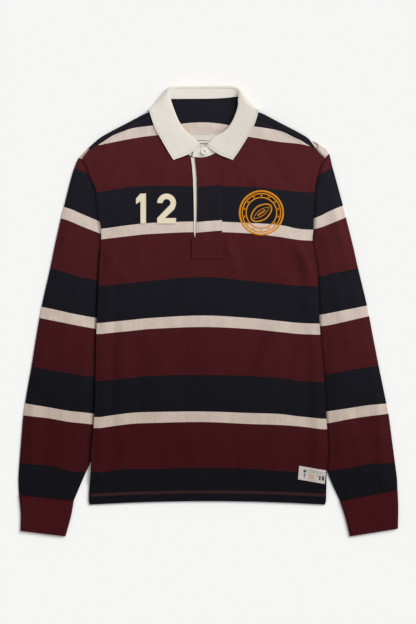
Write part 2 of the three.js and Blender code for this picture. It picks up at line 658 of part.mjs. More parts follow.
// Both halves of the collar's rows, from the left front round the back to the right front
function collarStations(rows) {
  const left = rows.map((row) => ({ row, sign: -1 }));
  const right = rows.slice(0, -1).map((row) => ({ row, sign: 1 }));
  return [...left, ...right.reverse()];
}

// How far across a row's fold lies on its side
function foldAcross(row, sign) {
  const i = COLLAR_ROWS.indexOf(row);
  return row.foldX + (i < 0 ? 0 : along(FOLD_OUT, "row", sign < 0 ? "left" : "right", i));
}

// A point of the collar from its distance across, up and above the floor
function collarPoint(sign, across, y, z) {
  return new THREE.Vector3(COLLAR_X + sign * across, y, z);
}

function collarStand() {
  const [, ...rows] = COLLAR_ROWS;
  const stations = [
    ...collarStations(rows),
    { row: STAND_MIDDLE, sign: 1 },
    { row: STAND_END, sign: 1 },
  ];
  const grid = stations.map(({ row, sign }) => {
    const neck = collarPoint(sign, row.neckX, row.neckY, row.neckZ);
    const top = collarPoint(sign, foldAcross(row, sign), row.foldY, row.foldZ - STAND_BELOW_FOLD);
    return Array.from({ length: STAND_STEPS + 1 }, (_, i) => neck.clone().lerp(top, i / STAND_STEPS));
  });
  return clothWall(grid, TWILL);
}

function collarFall() {
  const grid = collarStations(COLLAR_ROWS).map(({ row, sign }) => {
    const i = COLLAR_ROWS.indexOf(row);
    const fold = collarPoint(sign, foldAcross(row, sign), row.foldY, row.foldZ);
    const turned = i >= FIRST_TURNED;
    const turn = COLLAR_TURNS[i - FIRST_TURNED];
    const outX = turned ? turn.turnX : row.edgeX;
    const outY = turned ? turn.turnY : row.edgeY;
    const out = collarPoint(sign, outX, outY, turned ? TURN_Z : 0);
    const crown = fold.clone().lerp(out, CROWN_PLACE).setZ(row.foldZ - CROWN_DROP);
    if (i === 0) crown.y -= LEAF_BOW;
    const controls = [fold, crown, out];
    if (turned) {
      controls.push(collarPoint(sign, turn.underX, turn.underY, TWILL / 2));
      controls.push(collarPoint(sign, row.edgeX, row.edgeY, TWILL / 2));
    } else {
      out.setZ(frontTop(out.x, out.y) + GAP + TWILL / 2);
    }
    const section = new THREE.CatmullRomCurve3(controls, false, "centripetal").getPoints(FALL_STEPS);
    for (const point of section) {
      const least = turned ? TWILL / 2 : frontTop(point.x, point.y) + LEAF_CLEAR + TWILL / 2;
      point.setZ(Math.max(point.z, least));
    }
    return section;
  });
  return clothWall(grid, TWILL);
}

// A strip on the front between two edges given by height, lifted off it by its own amount
function frontStrip(edges, thickness, columns, lift) {
  const rows = edges.map((edge, i) =>
    Array.from({ length: columns + 1 }, (_, j) => {
      const x = THREE.MathUtils.lerp(edge.left, edge.right, j / columns);
      const y = i === edges.length - 1 ? topEdge("front", x) - 0.6 : edge.y;
      return new THREE.Vector3(x, y, frontTop(x, y) + lift(x, y) + thickness / 2);
    }),
  );
  return clothWall(rows, thickness);
}

function placket() {
  const over = GAP + TAPE + GAP + 0.1;
  const lift = (x, y) => {
    const beside = 1 - ease(-10, 6, x);
    const above = ease(120, 134, y);
    return THREE.MathUtils.lerp(GAP + 0.1, over, beside * above);
  };
  return frontStrip(PLACKET_EDGE, JERSEY, 7, lift);
}

function placketFacing() {
  return frontStrip(FACING_EDGE, TAPE, 2, () => GAP + 0.05);
}

function button() {
  const { radius, high, dish, rim } = BUTTON;
  const profile = [
    new THREE.Vector2(0, 0),
    new THREE.Vector2(radius * 0.86, 0),
    new THREE.Vector2(radius, high * 0.45),
    new THREE.Vector2(radius * 0.9, high),
    new THREE.Vector2(dish, high),
    new THREE.Vector2(dish * 0.86, high - rim),
    new THREE.Vector2(0, high - rim),
  ];
  const turned = new THREE.LatheGeometry(profile, 24);
  turned.rotateX(Math.PI / 2);
  return turned;
}

// A flat label whose points lie a little above the cloth below it
function label({ wide, long, turn = 0 }, centreX, centreY, under) {
  const rows = [];
  const across = 6;
  const up = 4;
  for (let i = 0; i <= up; i += 1) {
    const line = [];
    for (let j = 0; j <= across; j += 1) {
      const place = new THREE.Vector2(wide * (j / across - 0.5), long * (i / up - 0.5));
      place.rotateAround(new THREE.Vector2(), turn);
      const x = centreX + place.x;
      const y = centreY + place.y;
      line.push(new THREE.Vector3(x, y, under(x, y) + GAP + 0.1 + TAPE / 2));
    }
    rows.push(line);
  }
  return clothWall(rows, TAPE);
}

function neckLabel() {
  const { x, top, long } = NECK_LABEL;
  return label(NECK_LABEL, x, top - long / 2, (px, py) => backMiddle(px, py) + JERSEY / 2);
}

function hemLabel() {
  return label(HEM_LABEL, HEM_LABEL.x, HEM_LABEL.y, frontTop);
}

// Outline of the numeral 1, from its lower left corner
function numeralOne() {
  const shape = new THREE.Shape();
  const bar = NUMERAL_BAR;
  const { stemX, flagTop, flagFoot, flagJoin } = ONE;
  shape.moveTo(stemX, 0);
  shape.lineTo(stemX + bar, 0);
  shape.lineTo(stemX + bar, NUMERAL_HIGH);
  shape.lineTo(stemX, NUMERAL_HIGH);
  shape.lineTo(0, NUMERAL_HIGH - flagTop);
  shape.lineTo(0, NUMERAL_HIGH - flagFoot);
  shape.lineTo(stemX, NUMERAL_HIGH - flagJoin);
  return shape;
}

// Outline of the numeral 2, from its lower left corner
function numeralTwo() {
  const shape = new THREE.Shape();
  const bar = NUMERAL_BAR;
  const { wide, neckX, neckIn, neckDown, turn } = TWO;
  const bowl = wide / 2;
  const centreY = NUMERAL_HIGH - bowl;
  shape.moveTo(0, 0);
  shape.lineTo(wide, 0);
  shape.lineTo(wide, bar);
  shape.lineTo(bar + neckX, bar);
  shape.lineTo(wide - neckIn, centreY - neckDown);
  shape.absarc(bowl, centreY, bowl, turn, Math.PI, false);
  shape.lineTo(bar, centreY);
  shape.absarc(bowl, centreY, bowl - bar, Math.PI, turn, true);
  shape.lineTo(0, bar);
  return shape;
}

// A felt piece: a flat outline raised a little and laid on the front
function feltOnFront(shape, x, y) {
  const felt = new THREE.ExtrudeGeometry(shape, { depth: FELT, bevelEnabled: false, curveSegments: 10 });
  felt.translate(x, y, 0);
  const place = felt.attributes.position;
  for (let i = 0; i < place.count; i += 1) {
    const under = frontTop(place.getX(i), place.getY(i));
    place.setZ(i, place.getZ(i) + under + GAP + 0.3);
  }
  return felt;
}

// Materials
const finish = (color, roughness) => new THREE.MeshStandardMaterial({ color, roughness, metalness: 0 });
const jersey = finish(0x4a1c20, 0.9);
const rib = finish(0x3f171b, 0.92);
const twill = finish(0xe8e4dc, 0.85);
const felt = finish(0xece2c8, 0.95);
const tape = finish(0xe4e0d8, 0.8);
const horn = finish(0xf0eee8, 0.35);

// One named piece of the shirt
function piece(name, geometry, material) {
  const mesh = new THREE.Mesh(geometry, material);
  mesh.name = name;
  return mesh;
}

// The button is turned on its own axis and set down on the stand
function placedButton() {
  const mesh = piece("collar_button", button(), horn);
  mesh.position.set(BUTTON.x, BUTTON.y, BUTTON.z);
  return mesh;
}

const shirt = new THREE.Group();
shirt.add(
  piece("back_panel", backPanel(), jersey),
  piece("front_panel", frontPanel(), jersey),
  piece("left_placket", placket(), jersey),
  piece("placket_facing", placketFacing(), twill),
  piece("collar_stand", collarStand(), twill),
  piece("collar_fall", collarFall(), twill),
  placedButton(),
  piece("neck_label", neckLabel(), tape),
  piece("hem_label", hemLabel(), tape),
  piece("numeral_one", feltOnFront(numeralOne(), NUMERALS.one, NUMERAL_Y - NUMERAL_HIGH / 2), felt),
  piece("numeral_two", feltOnFront(numeralTwo(), NUMERALS.two, NUMERAL_Y - NUMERAL_HIGH / 2), felt),
);

// The wearer's right sleeve lies on the left of the shirt as seen from above
const SLEEVE_NAMES = { left: "right", right: "left" };
for (const [side, wearer] of Object.entries(SLEEVE_NAMES)) {
  shirt.add(piece(`${wearer}_sleeve`, sleeve(side), jersey));
  shirt.add(piece(`${wearer}_cuff`, cuff(side), rib));
}

// The origin is the middle of the shirt's box, on the surface that it lies on
const box = new THREE.Box3().setFromObject(shirt);
const middle = box.getCenter(new THREE.Vector3());
shirt.position.set(-middle.x, -middle.y, -box.min.z);

const group = new THREE.Group();
group.add(shirt);
export default group;
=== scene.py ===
"""A hooped rugby shirt laid flat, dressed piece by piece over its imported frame.

Sizes are millimetres in the shirt's own plan: X across it, Y up it towards the collar, Z up
from the surface that it lies on. Meshes are metres in the row frame.
"""

import logging
import math
from collections.abc import Callable, Sequence
from dataclasses import dataclass
from enum import Enum

import bmesh
import bpy
import numpy as np
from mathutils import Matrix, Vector


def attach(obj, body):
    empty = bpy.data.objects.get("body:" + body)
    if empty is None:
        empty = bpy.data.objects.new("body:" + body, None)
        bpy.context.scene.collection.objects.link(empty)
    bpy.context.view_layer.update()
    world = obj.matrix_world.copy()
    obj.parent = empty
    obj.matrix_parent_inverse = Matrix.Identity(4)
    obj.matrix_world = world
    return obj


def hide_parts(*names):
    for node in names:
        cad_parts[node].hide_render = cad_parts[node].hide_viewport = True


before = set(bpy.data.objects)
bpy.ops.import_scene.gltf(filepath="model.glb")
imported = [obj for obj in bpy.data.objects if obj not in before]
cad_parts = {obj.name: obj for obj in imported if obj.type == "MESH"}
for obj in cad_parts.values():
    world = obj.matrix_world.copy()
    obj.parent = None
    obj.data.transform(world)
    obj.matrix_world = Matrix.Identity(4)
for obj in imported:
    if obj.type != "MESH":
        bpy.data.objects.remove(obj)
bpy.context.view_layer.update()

LOG = logging.getLogger("rugby_shirt")
BODY = "root"

MM = 0.001
SHIFT = (-0.2, 0.448, 0.0)

JERSEY = 1.4
SLEEVE_WALL = 1.3
TWILL = 1.8
RIB = 1.9
FELT = 1.0
TAPE = 1.0
GAP = 0.3

Array = np.ndarray
Height = Callable[[Array, Array], Array]
Pair = tuple[float, float]
Triple = tuple[float, float, float]

# Over how far the count of hoops rises at a hoop's edge, so that its edge stays crisp
EDGE_RISE = 10.0
# Share of a crease's fade that is left over at each of its ends
CREASE_END = 0.15


class Side(Enum):
    """A side of the shirt as it is seen from above, collar up."""

    LEFT = -1
    RIGHT = 1

    @property
    def column(self) -> str:
        """Name of this side's column in a table."""
        return self.name.lower()

    @property
    def wearer(self) -> str:
        """The same side as the wearer's."""
        return "right" if self is Side.LEFT else "left"


class Hoop(Enum):
    """Colours of the hoops in their order up the shirt, each as a lighter copy for the shoulders
    and a darker copy for the hem: painted light that falls off down the shirt.
    """

    NAVY = ((0.0124, 0.0117, 0.0171), (0.0050, 0.0045, 0.0074))
    BURGUNDY = ((0.0790, 0.0128, 0.0153), (0.0408, 0.0040, 0.0056))
    BEIGE = ((0.6920, 0.5830, 0.5120), (0.5320, 0.4230, 0.3600))

    @property
    def faded(self) -> Triple:
        """The colour at the shoulders, with painted light."""
        return self.value[0]

    @property
    def deep(self) -> Triple:
        """The colour at the hem, with painted shade."""
        return self.value[1]


# Sizes along a line


def smooth_between(keys: Array, values: Array, place: Array) -> Array:
    """A smooth curve through values at rising keys.

    Args:
        keys: places of the known values.
        values: the value at each key.
        place: where the curve is wanted; outside the keys it keeps the end value.

    Returns:
        The curve's value at each place.
    """
    place = np.clip(np.asarray(place, float), keys[0], keys[-1])
    last = len(keys) - 1
    row = np.clip(np.searchsorted(keys, place) - 1, 0, last - 1)
    before = np.maximum(np.arange(last + 1) - 1, 0)
    after = np.minimum(np.arange(last + 1) + 1, last)
    slope = (values[after] - values[before]) / (keys[after] - keys[before])
    span = keys[row + 1] - keys[row]
    t = (place - keys[row]) / span
    rise = values[row + 1] - values[row]
    start = slope[row] * span - rise
    end = rise - slope[row + 1] * span
    return values[row] + rise * t + t * (1 - t) * (start * (1 - t) + end * t)


@dataclass(frozen=True)
class Table:
    """A short table of sizes with named columns.

    Where values between its rows are read by key, the first column is the key and rises.
    """

    names: tuple[str, ...]
    rows: tuple[tuple[float, ...], ...]

    def column(self, name: str) -> Array:
        """One column."""
        return np.array(self.rows, float)[:, self.names.index(name)]

    def at(self, name: str, place: Array) -> Array:
        """A smooth value of one column at places on the key column."""
        return smooth_between(self.column(self.names[0]), self.column(name), place)

    def by_row(self, name: str, steps: int) -> Array:
        """One column drawn out smoothly by its rows' order.

        Args:
            name: the column.
            steps: how many steps it has from each row to the next.

        Returns:
            The finer column.
        """
        known = self.column(name)
        rows = np.arange(len(known), dtype=float)
        places = np.linspace(0, len(known) - 1, (len(known) - 1) * steps + 1)
        return smooth_between(rows, known, places)


def ease(start: float, end: float, at: Array) -> Array:
    """From 0 to 1 and level at both ends, as a place passes from start to end."""
    t = np.clip((np.asarray(at, float) - start) / (end - start), 0, 1)
    return t * t * (3 - 2 * t)


def creased(creases: Table, x: Array, y: Array) -> Array:
    """Height added by a set of creases.

    Args:
        creases: lines from (ax, ay) to (bx, by), each with its width and height.
        x: places across the shirt.
        y: places up the shirt.

    Returns:
        The summed height; each crease fades sideways and towards its ends.
    """
    total = np.zeros(np.broadcast(x, y).shape)
    for ax, ay, bx, by, width, height in creases.rows:
        dx, dy = bx - ax, by - ay
        long = math.hypot(dx, dy)
        t = ((x - ax) * dx + (y - ay) * dy) / long**2
        off = ((x - ax) * dy - (y - ay) * dx) / long
        inside = np.clip(t, 0, 1)
        past = (t - inside) * long
        fade = np.sin(np.pi * (CREASE_END + (1 - 2 * CREASE_END) * inside))
        total = total + height * fade * np.exp(-(off**2 + past**2) / width**2)
    return total


def drawn_out(grid: Array, steps: int, axis: int = 0) -> Array:
    """A grid of points with smooth rows added between its own.

    Args:
        grid: points in rows and columns.
        steps: how many steps one row becomes.
        axis: 0 to add rows, 1 to add columns.

    Returns:
        The finer grid.
    """
    moved = np.moveaxis(grid, axis, 0)
    rows = np.arange(len(moved), dtype=float)
    places = np.linspace(0, len(moved) - 1, (len(moved) - 1) * steps + 1)
    flat = moved.reshape(len(moved), -1)
    fine = np.stack([smooth_between(rows, flat[:, i], places) for i in range(flat.shape[1])], 1)
    return np.moveaxis(fine.reshape(len(places), *moved.shape[1:]), 0, axis)


CREASE_COLUMNS = ("ax", "ay", "bx", "by", "width", "height")


# The shirt's form


@dataclass(frozen=True)
class BodyForm:
    """Outline, loft and creases of the body, which every piece on it follows."""

    hem_y: float = -349.0
    underarm_y: float = 126.0
    bend_from_y: float = 60.0
    corner_y: float = 290.5
    hem_bow: float = 6.5
    bow_fade: float = 120.0
    collar_x: float = -8.0
    loft: float = 2.6
    least_loft: float = 0.05
    edge_from: float = -4.0
    edge_soft: float = 30.0
    crease_clear: float = 16.0
    hem_loft: float = 0.25
    hem_fade: float = 60.0
    armhole_loft: float = 0.6
    armhole_below: float = 20.0
    armhole_above: float = 30.0
    tuck_rise: float = 3.5
    tuck_full: float = 13.0
    tuck_fade: float = 22.0
    tuck_top_y: float = 106.0
    tuck_top_clear: float = 4.0
    tuck_end_left_y: float = -296.0
    tuck_end_right_y: float = -318.0
    tuck_end_fade: float = 24.0
    fall_rise: float = 2.2
    fall_full_x: float = 98.0
    fall_fade_x: float = 122.0
    fall_from_y: float = 314.0
    fall_full_y: float = 336.0
    shoulder_clear: float = 0.8

    edges: Table = Table(
        ("y", "left", "right"),
        (
            (-349, -213.2, 210.2),
            (-343, -215, 212),
            (-325, -214.6, 212.4),
            (-288, -211.8, 213),
            (-247, -210.3, 215.6),
            (-204, -205.7, 213.2),
            (-128, -203, 209.3),
            (-42, -201.2, 201.5),
            (48, -197.4, 197.6),
            (85, -195.6, 194.5),
            (126, -192.9, 187.8),
            (146, -193.1, 189.3),
            (166, -196.8, 190),
            (191, -200.1, 191.8),
            (215, -202.1, 192.7),
            (237, -210.7, 195.8),
            (251, -215.4, 199.4),
            (264, -220, 203.4),
            (274.5, -226, 209.6),
            (283, -220, 201.6),
            (290.5, -214, 194.6),
        ),
    )
    tops: Table = Table(
        ("across", "left", "right", "back", "back_up", "wrap"),
        (
            (0, 276, 276, 381.6, 0, 0),
            (23, 277.2, 284.2, 381.6, 0.6, 0),
            (46, 292.5, 295.5, 381.3, 2.4, 0),
            (60, 311, 311, 380.5, 4.6, 0),
            (68, 328, 328, 374.5, 4, 0),
            (74, 346, 343, 368, 2, 0.35),
            (80, 357, 350, 365.2, 0, 0.8),
            (96, 352.5, 345.5, 358.4, 0, 1),
            (108, 348, 341, 354.2, 0, 1),
            (121, 342, 336, 347.4, 0, 1),
            (146, 326.9, 322.5, 334.2, 0, 1),
            (168, 313, 311, 322.8, 0, 1),
            (189, 299.5, 298, 310, 0, 1),
            (206, 290.5, 290.5, 294.5, 0, 1),
        ),
    )
    creases: Table = Table(
        CREASE_COLUMNS,
        (
            (158, 120, 186, 66, 9, 2.4),
            (171, 118, 197, 76, 4.5, -2.2),
            (150, 96, 168, 44, 8, -1.4),
            (-15, 248, 9, 268, 3.5, -0.9),
            (-10, 236, 17, 260, 4.5, 1.1),
            (-2, 230, 24, 250, 4, -0.8),
            (25, 142, 34, 92, 5, -1.5),
            (36, 128, 60, 60, 8, 1.5),
            (60, 120, 72, 40, 12, -1.6),
            (104, 112, 128, 40, 16, 2),
            (-60, 118, -84, 44, 14, -1.6),
            (-120, 132, -128, 60, 12, 1.5),
            (-104, 280, -150, 214, 9, -1.5),
            (104, 278, 150, 226, 9, -1.4),
            (-40, -40, -46, -150, 14, -1.5),
            (10, -60, 4, -190, 16, 1.7),
            (-120, -70, -128, -200, 12, -1.6),
            (-30, -210, -20, -320, 15, 1.6),
            (40, -230, 60, -330, 10, -1.5),
            (-150, -216, -150, -330, 11, 1.5),
            (122, -250, 128, -335, 9, 1.4),
            (104, -30, 58, -124, 13, -2.2),
            (128, -26, 84, -140, 14, 2.4),
            (154, -56, 130, -168, 11, -2),
            (152, -206, 80, -292, 14, 2.2),
            (118, -196, 60, -268, 12, -1.6),
            (22, 146, 46, 80, 9, 2.2),
            (-22, 110, -44, 20, 13, 1.8),
            (-172, -8, -180, -226, 10, -2),
            (-150, 30, -158, -190, 12, 2.2),
            (-186, 110, -140, 40, 10, 2.2),
            (178, -6, 184, -220, 10, -1.8),
            (-96, -60, -70, -220, 18, 1.6),
            (-60, 262, -112, 196, 12, 2),
            (62, 258, 110, 206, 12, 1.8),
        ),
    )

    def edge(self, side: Side, y: Array) -> Array:
        """The body's edge on one side at heights."""
        return self.edges.at(side.column, y)

    def inside(self, x: Array, y: Array) -> Array:
        """Distance from the nearer side edge."""
        return np.minimum(x - self.edge(Side.LEFT, y), self.edge(Side.RIGHT, y) - x)

    def back_under(self, x: Array, y: Array) -> Array:
        """Underside of the back, raised over the tucked sleeves and the collar's fall.

        Args:
            x: places across the shirt.
            y: places up the shirt.

        Returns:
            Its height at each place.
        """
        nearer_left = x - self.edge(Side.LEFT, y) < self.edge(Side.RIGHT, y) - x
        end_y = np.where(nearer_left, self.tuck_end_left_y, self.tuck_end_right_y)
        beside = 1 - ease(self.tuck_full, self.tuck_full + self.tuck_fade, self.inside(x, y))
        up_to = 1 - ease(self.tuck_top_y, self.underarm_y - self.tuck_top_clear, y)
        past_end = ease(0, self.tuck_end_fade, y - (end_y - self.tuck_end_fade))
        tuck = self.tuck_rise * beside * up_to * past_end
        near = 1 - ease(self.fall_full_x, self.fall_fade_x, np.abs(x - self.collar_x))
        fall = self.fall_rise * near * ease(self.fall_from_y, self.fall_full_y, y)
        return np.maximum(tuck, fall)

    def back_middle(self, x: Array, y: Array) -> Array:
        """Middle of the back's wall."""
        return self.back_under(x, y) + JERSEY / 2

    def back_top(self, x: Array, y: Array) -> Array:
        """Top of the back's wall."""
        return self.back_middle(x, y) + JERSEY / 2

    def front_middle(self, x: Array, y: Array) -> Array:
        """Middle of the front's wall, which lies on the back at the sides and hem.

        Args:
            x: places across the shirt.
            y: places up the shirt.

        Returns:
            Its height at each place.
        """
        inside = self.inside(x, y)
        soft = ease(self.edge_from, self.edge_soft, inside)
        low, high = self.underarm_y - self.armhole_below, self.underarm_y + self.armhole_above
        sewn = self.armhole_loft * ease(low, high, y)
        from_hem = ease(self.hem_y, self.hem_y + self.hem_fade, y)
        hem = self.hem_loft + (1 - self.hem_loft) * from_hem
        loft = self.loft * np.maximum(soft, sewn) * hem
        shape = creased(self.creases, x, y) * ease(0, self.crease_clear, inside) * hem
        return self.back_middle(x, y) + JERSEY + GAP + np.maximum(loft + shape, self.least_loft)

    def front_top(self, x: Array, y: Array) -> Array:
        """Top of the front's wall."""
        return self.front_middle(x, y) + JERSEY / 2

    def top_edge(self, column: str, x: Array) -> Array:
        """A top edge of the body, or the share of wrap there.

        Args:
            column: "front", or a column of the table of top edges.
            x: places across the shirt.

        Returns:
            The value of that column at each place.
        """
        across = np.asarray(x, float) - self.collar_x
        if column == "back":
            raised = np.where(across > 0, self.tops.at("back_up", np.abs(across)), 0)
            return self.tops.at("back", np.abs(across)) + raised
        if column != "front":
            return self.tops.at(column, np.abs(across))
        left = self.tops.at("left", np.abs(across))
        return np.where(across < 0, left, self.tops.at("right", np.abs(across)))

    def bowed(self, row_y: Array, u: Array) -> Array:
        """How far up a row near the hem bows, by its height and the place across it."""
        bow = self.hem_bow * (1 - ease(self.hem_y, self.hem_y + self.bow_fade, row_y))
        return bow * (1 - (2 * u - 1) ** 2)

    def plan(self, row_y: Array, u: Array, edge: Callable[[Array], Array]) -> tuple[Array, Array]:
        """Plan of a panel's rows: straight across low down, bent to the top edge higher up.

        Args:
            row_y: height of each row at the side.
            u: places across from the left edge (0) to the right (1).
            edge: the panel's top edge above a place across it.

        Returns:
            The x and y of every point.
        """
        left, right = self.edge(Side.LEFT, row_y), self.edge(Side.RIGHT, row_y)
        x = left[:, None] + (right - left)[:, None] * u[None, :]
        top_y = row_y[-1]
        bend = np.maximum((row_y - self.bend_from_y) / (top_y - self.bend_from_y), 0) ** 2
        y = row_y[:, None] + self.bowed(row_y[:, None], u[None, :])
        return x, y + (edge(x) - top_y) * bend[:, None]


FORM = BodyForm()


# Hoops


@dataclass(frozen=True)
class Hoops:
    """Where the hoops change colour: a row for each edge from the top down, by place across."""

    places: tuple[float, ...]
    edges: tuple[tuple[float, ...], ...]

    def count(self, x: Array, y: Array) -> Array:
        """Counts the hoops' edges below points.

        Args:
            x: places across the shirt.
            y: places up the shirt.

        Returns:
            The count and a half, which rises evenly for a little way at each edge.
        """
        known = np.array(self.edges, float)
        keys = np.array(self.places, float)
        total = np.full(np.shape(x), 0.5)
        for line in known:
            total = total + np.clip((y - smooth_between(keys, line, x)) / EDGE_RISE + 0.5, 0, 1)
        return total


FRONT_HOOPS = Hoops(
    (-195, -141, -105, -9.5, 75, 129, 165, 205),
    (
        (305.8, 327.4, 332.8, 345, 332.8, 323.8, 307.6, 296),
        (298.6, 309.4, 314.8, 324, 313, 304, 300.4, 292),
        (214, 223, 224.8, 224, 223, 217.6, 214, 213),
        (147.4, 154.6, 158.2, 161, 158.2, 154.6, 147.4, 146),
        (128.5, 134.8, 138.4, 142, 139.4, 133, 127.6, 126),
        (44.8, 50.2, 53.8, 61, 53.8, 48.4, 44.8, 44),
        (-21.8, -16.4, -12.8, -8.3, -12.8, -18.2, -21.8, -23),
        (-41.6, -36.2, -32.6, -29, -32.6, -38, -41.6, -43),
        (-126.2, -120.8, -117.2, -115.4, -117.2, -120.8, -126.2, -128),
        (-191, -183.8, -182, -181, -183.8, -185.6, -190, -194),
        (-210.8, -203.6, -201.8, -200, -203.6, -205.4, -208, -213),
        (-290, -284.6, -284.6, -282.8, -284.6, -288.2, -290, -292),
    ),
)
BACK_HOOPS = Hoops(
    FRONT_HOOPS.places,
    (
        (282, 306, 326, 339.5, 326, 306, 290, 276),
        (262, 288, 306, 317.5, 306, 288, 270, 258),
        *FRONT_HOOPS.edges[2:],
    ),
)
SLEEVE_HOOPS = {
    Side.LEFT: Hoops(
        (-339, -285, -249, -231, -190),
        (
            (300, 290, 280, 274.7, 262),
            (300, 277, 261, 253, 235),
            (203, 194, 183.8, 176, 158.6),
            (183.4, 172.6, 161.4, 153.6, 137.4),
            (88, 77.2, 66.4, 61, 53.6),
            (14.2, 4.3, -3.8, -7.4, -14.8),
            (-5.6, -16.4, -23.6, -27.2, -34.6),
            (-95.6, -106.4, -111.8, -115.4, -120.6),
            (-164.9, -173.9, -180.2, -182, -187),
            (-187.4, -193.7, -200, -201.8, -207),
            (-273.8, -279.2, -288.2, -290, -295),
        ),
    ),
    Side.RIGHT: Hoops(
        (192, 205, 219, 255, 291, 336),
        (
            (257, 269, 284, 300, 310, 320),
            (240, 247.6, 256, 270, 290, 310),
            (167.2, 172.6, 179.8, 194.2, 205, 217.6),
            (147.4, 151, 156.4, 170.8, 181.6, 194.2),
            (61, 62.8, 66.4, 73.6, 82.6, 95.2),
            (-7.4, -6.5, -3.8, 3.4, 10.6, 19.6),
            (-28.1, -27.2, -25.4, -17.3, -9.2, -0.2),
            (-117.2, -115.4, -113.6, -106.4, -101, -93.8),
            (-183.8, -182, -180.2, -174.8, -169.4, -165.8),
            (-205.4, -203.6, -201.8, -194.6, -189.2, -183.8),
            (-291.8, -290, -288.2, -282.8, -275.6, -273.8),
        ),
    ),
}


# Meshes


def new_object(name: str, data: bpy.types.ID) -> bpy.types.Object:
    """A new object in the scene that shows a mesh or other data."""
    obj = bpy.data.objects.new(name, data)
    bpy.context.scene.collection.objects.link(obj)
    return obj


def in_row_frame(points: Array) -> Array:
    """Points of the shirt's plan as metres in the row frame."""
    return (np.asarray(points, float) + np.array(SHIFT)) * MM


def in_plan(mesh: bpy.types.Mesh) -> Array:
    """A mesh's points as millimetres in the shirt's plan."""
    flat = np.empty(len(mesh.vertices) * 3)
    mesh.vertices.foreach_get("co", flat)
    return flat.reshape(-1, 3) / MM - np.array(SHIFT)


def mesh_of(name: str, points: Array, faces: Sequence[Sequence[int]]) -> bpy.types.Mesh:
    """A mesh from points and faces.

    Args:
        name: its name.
        points: the points, in the shirt's plan.
        faces: the numbers of each face's points.

    Returns:
        The mesh.
    """
    mesh = bpy.data.meshes.new(name)
    mesh.from_pydata(in_row_frame(points).tolist(), [], [tuple(face) for face in faces])
    mesh.update()
    return mesh


def grid_faces(high: int, wide: int, ring: bool = False) -> Array:
    """Faces of a grid of points.

    Args:
        high: number of rows.
        wide: number of points in a row.
        ring: whether each row closes on itself.

    Returns:
        The corners of each face, in order.
    """
    i, j = np.meshgrid(np.arange(high - 1), np.arange(wide if ring else wide - 1), indexing="ij")
    after = (j + 1) % wide
    corners = [i * wide + j, i * wide + after, (i + 1) * wide + after, (i + 1) * wide + j]
    return np.stack([c.ravel() for c in corners], 1)


def made_final(obj: bpy.types.Object, smooth_below: float = 50.0) -> bpy.types.Object:
    """Applies what shapes an object, and shades it smooth except at its edges.

    Args:
        obj: the object.
        smooth_below: the angle in degrees from which an edge stays sharp.

    Returns:
        The same object.
    """
    graph = bpy.context.evaluated_depsgraph_get()
    mesh = bpy.data.meshes.new_from_object(obj.evaluated_get(graph), depsgraph=graph)
    mesh.name = obj.name
    obj.modifiers.clear()
    obj.data = mesh
    mesh.shade_smooth()
    mesh.set_sharp_from_angle(angle=math.radians(smooth_below))
    return obj


def cloth(name: str, grid: Array, thickness: float, ring: bool = False) -> bpy.types.Object:
    """A cloth wall on a grid of points at its middle.

    Args:
        name: name of the new object.
        grid: points in rows and columns.
        thickness: the wall's own.
        ring: whether each row closes on itself, as round a sleeve.

    Returns:
        The object, its wall still to be made final.
    """
    high, wide = grid.shape[:2]
    obj = new_object(name, mesh_of(name, grid.reshape(-1, 3), grid_faces(high, wide, ring)))
    wall = obj.modifiers.new("wall", "SOLIDIFY")
    wall.thickness = thickness * MM
    wall.offset = 0
    return obj


def cloth_tube(name: str, outer: Array, inner: Array) -> bpy.types.Object:
    """A cloth tube, open at both ends.

    Args:
        name: name of the new object.
        outer: rings of points on its outside.
        inner: as many rings on its inside.

    Returns:
        The object, smooth except at its edges.
    """
    high, around = outer.shape[:2]
    skin = grid_faces(high, around, ring=True)
    lining = skin[:, ::-1] + high * around
    k = np.arange(around)
    after = (k + 1) % around
    ends = []
    for i, turned in ((0, False), (high - 1, True)):
        out, inside = i * around, (high + i) * around
        rim = np.stack([out + after, out + k, inside + k, inside + after], 1)
        ends.append(rim[:, ::-1] if turned else rim)
    points = np.concatenate([outer.reshape(-1, 3), inner.reshape(-1, 3)])
    obj = new_object(name, mesh_of(name, points, np.concatenate([skin, lining, *ends]).tolist()))
    shape = bmesh.new()
    shape.from_mesh(obj.data)
    bmesh.ops.recalc_face_normals(shape, faces=shape.faces[:])
    shape.to_mesh(obj.data)
    shape.free()
    return obj


def cut_away(obj: bpy.types.Object, outline: Array, low: float, high: float) -> None:
    """Cuts an upright block away from an object.

    Args:
        obj: the object.
        outline: the block's plan, in order round it.
        low: the block's lower end.
        high: the block's upper end.
    """
    count = len(outline)
    rings = [np.column_stack([outline, np.full(count, z)]) for z in (low, high)]
    sides = [(i, (i + 1) % count, count + (i + 1) % count, count + i) for i in range(count)]
    ends = [tuple(reversed(range(count))), tuple(range(count, 2 * count))]
    mesh = mesh_of("block", np.concatenate(rings), sides + ends)
    shape = bmesh.new()
    shape.from_mesh(mesh)
    bmesh.ops.triangulate(shape, faces=shape.faces[:])
    bmesh.ops.recalc_face_normals(shape, faces=shape.faces[:])
    shape.to_mesh(mesh)
    shape.free()
    block = new_object("block", mesh)
    cut = obj.modifiers.new("cut", "BOOLEAN")
    cut.operation, cut.object, cut.solver = "DIFFERENCE", block, "MANIFOLD"
    bpy.context.view_layer.update()
    made_final(obj)
    obj.data.materials.clear()
    bpy.data.objects.remove(block)


def set_values(obj: bpy.types.Object, name: str, values: Array) -> None:
    """Keeps one number for each point of an object's mesh, for its finish to read."""
    attribute = obj.data.attributes.new(name, "FLOAT", "POINT")
    attribute.data.foreach_set("value", np.asarray(values, np.float32))


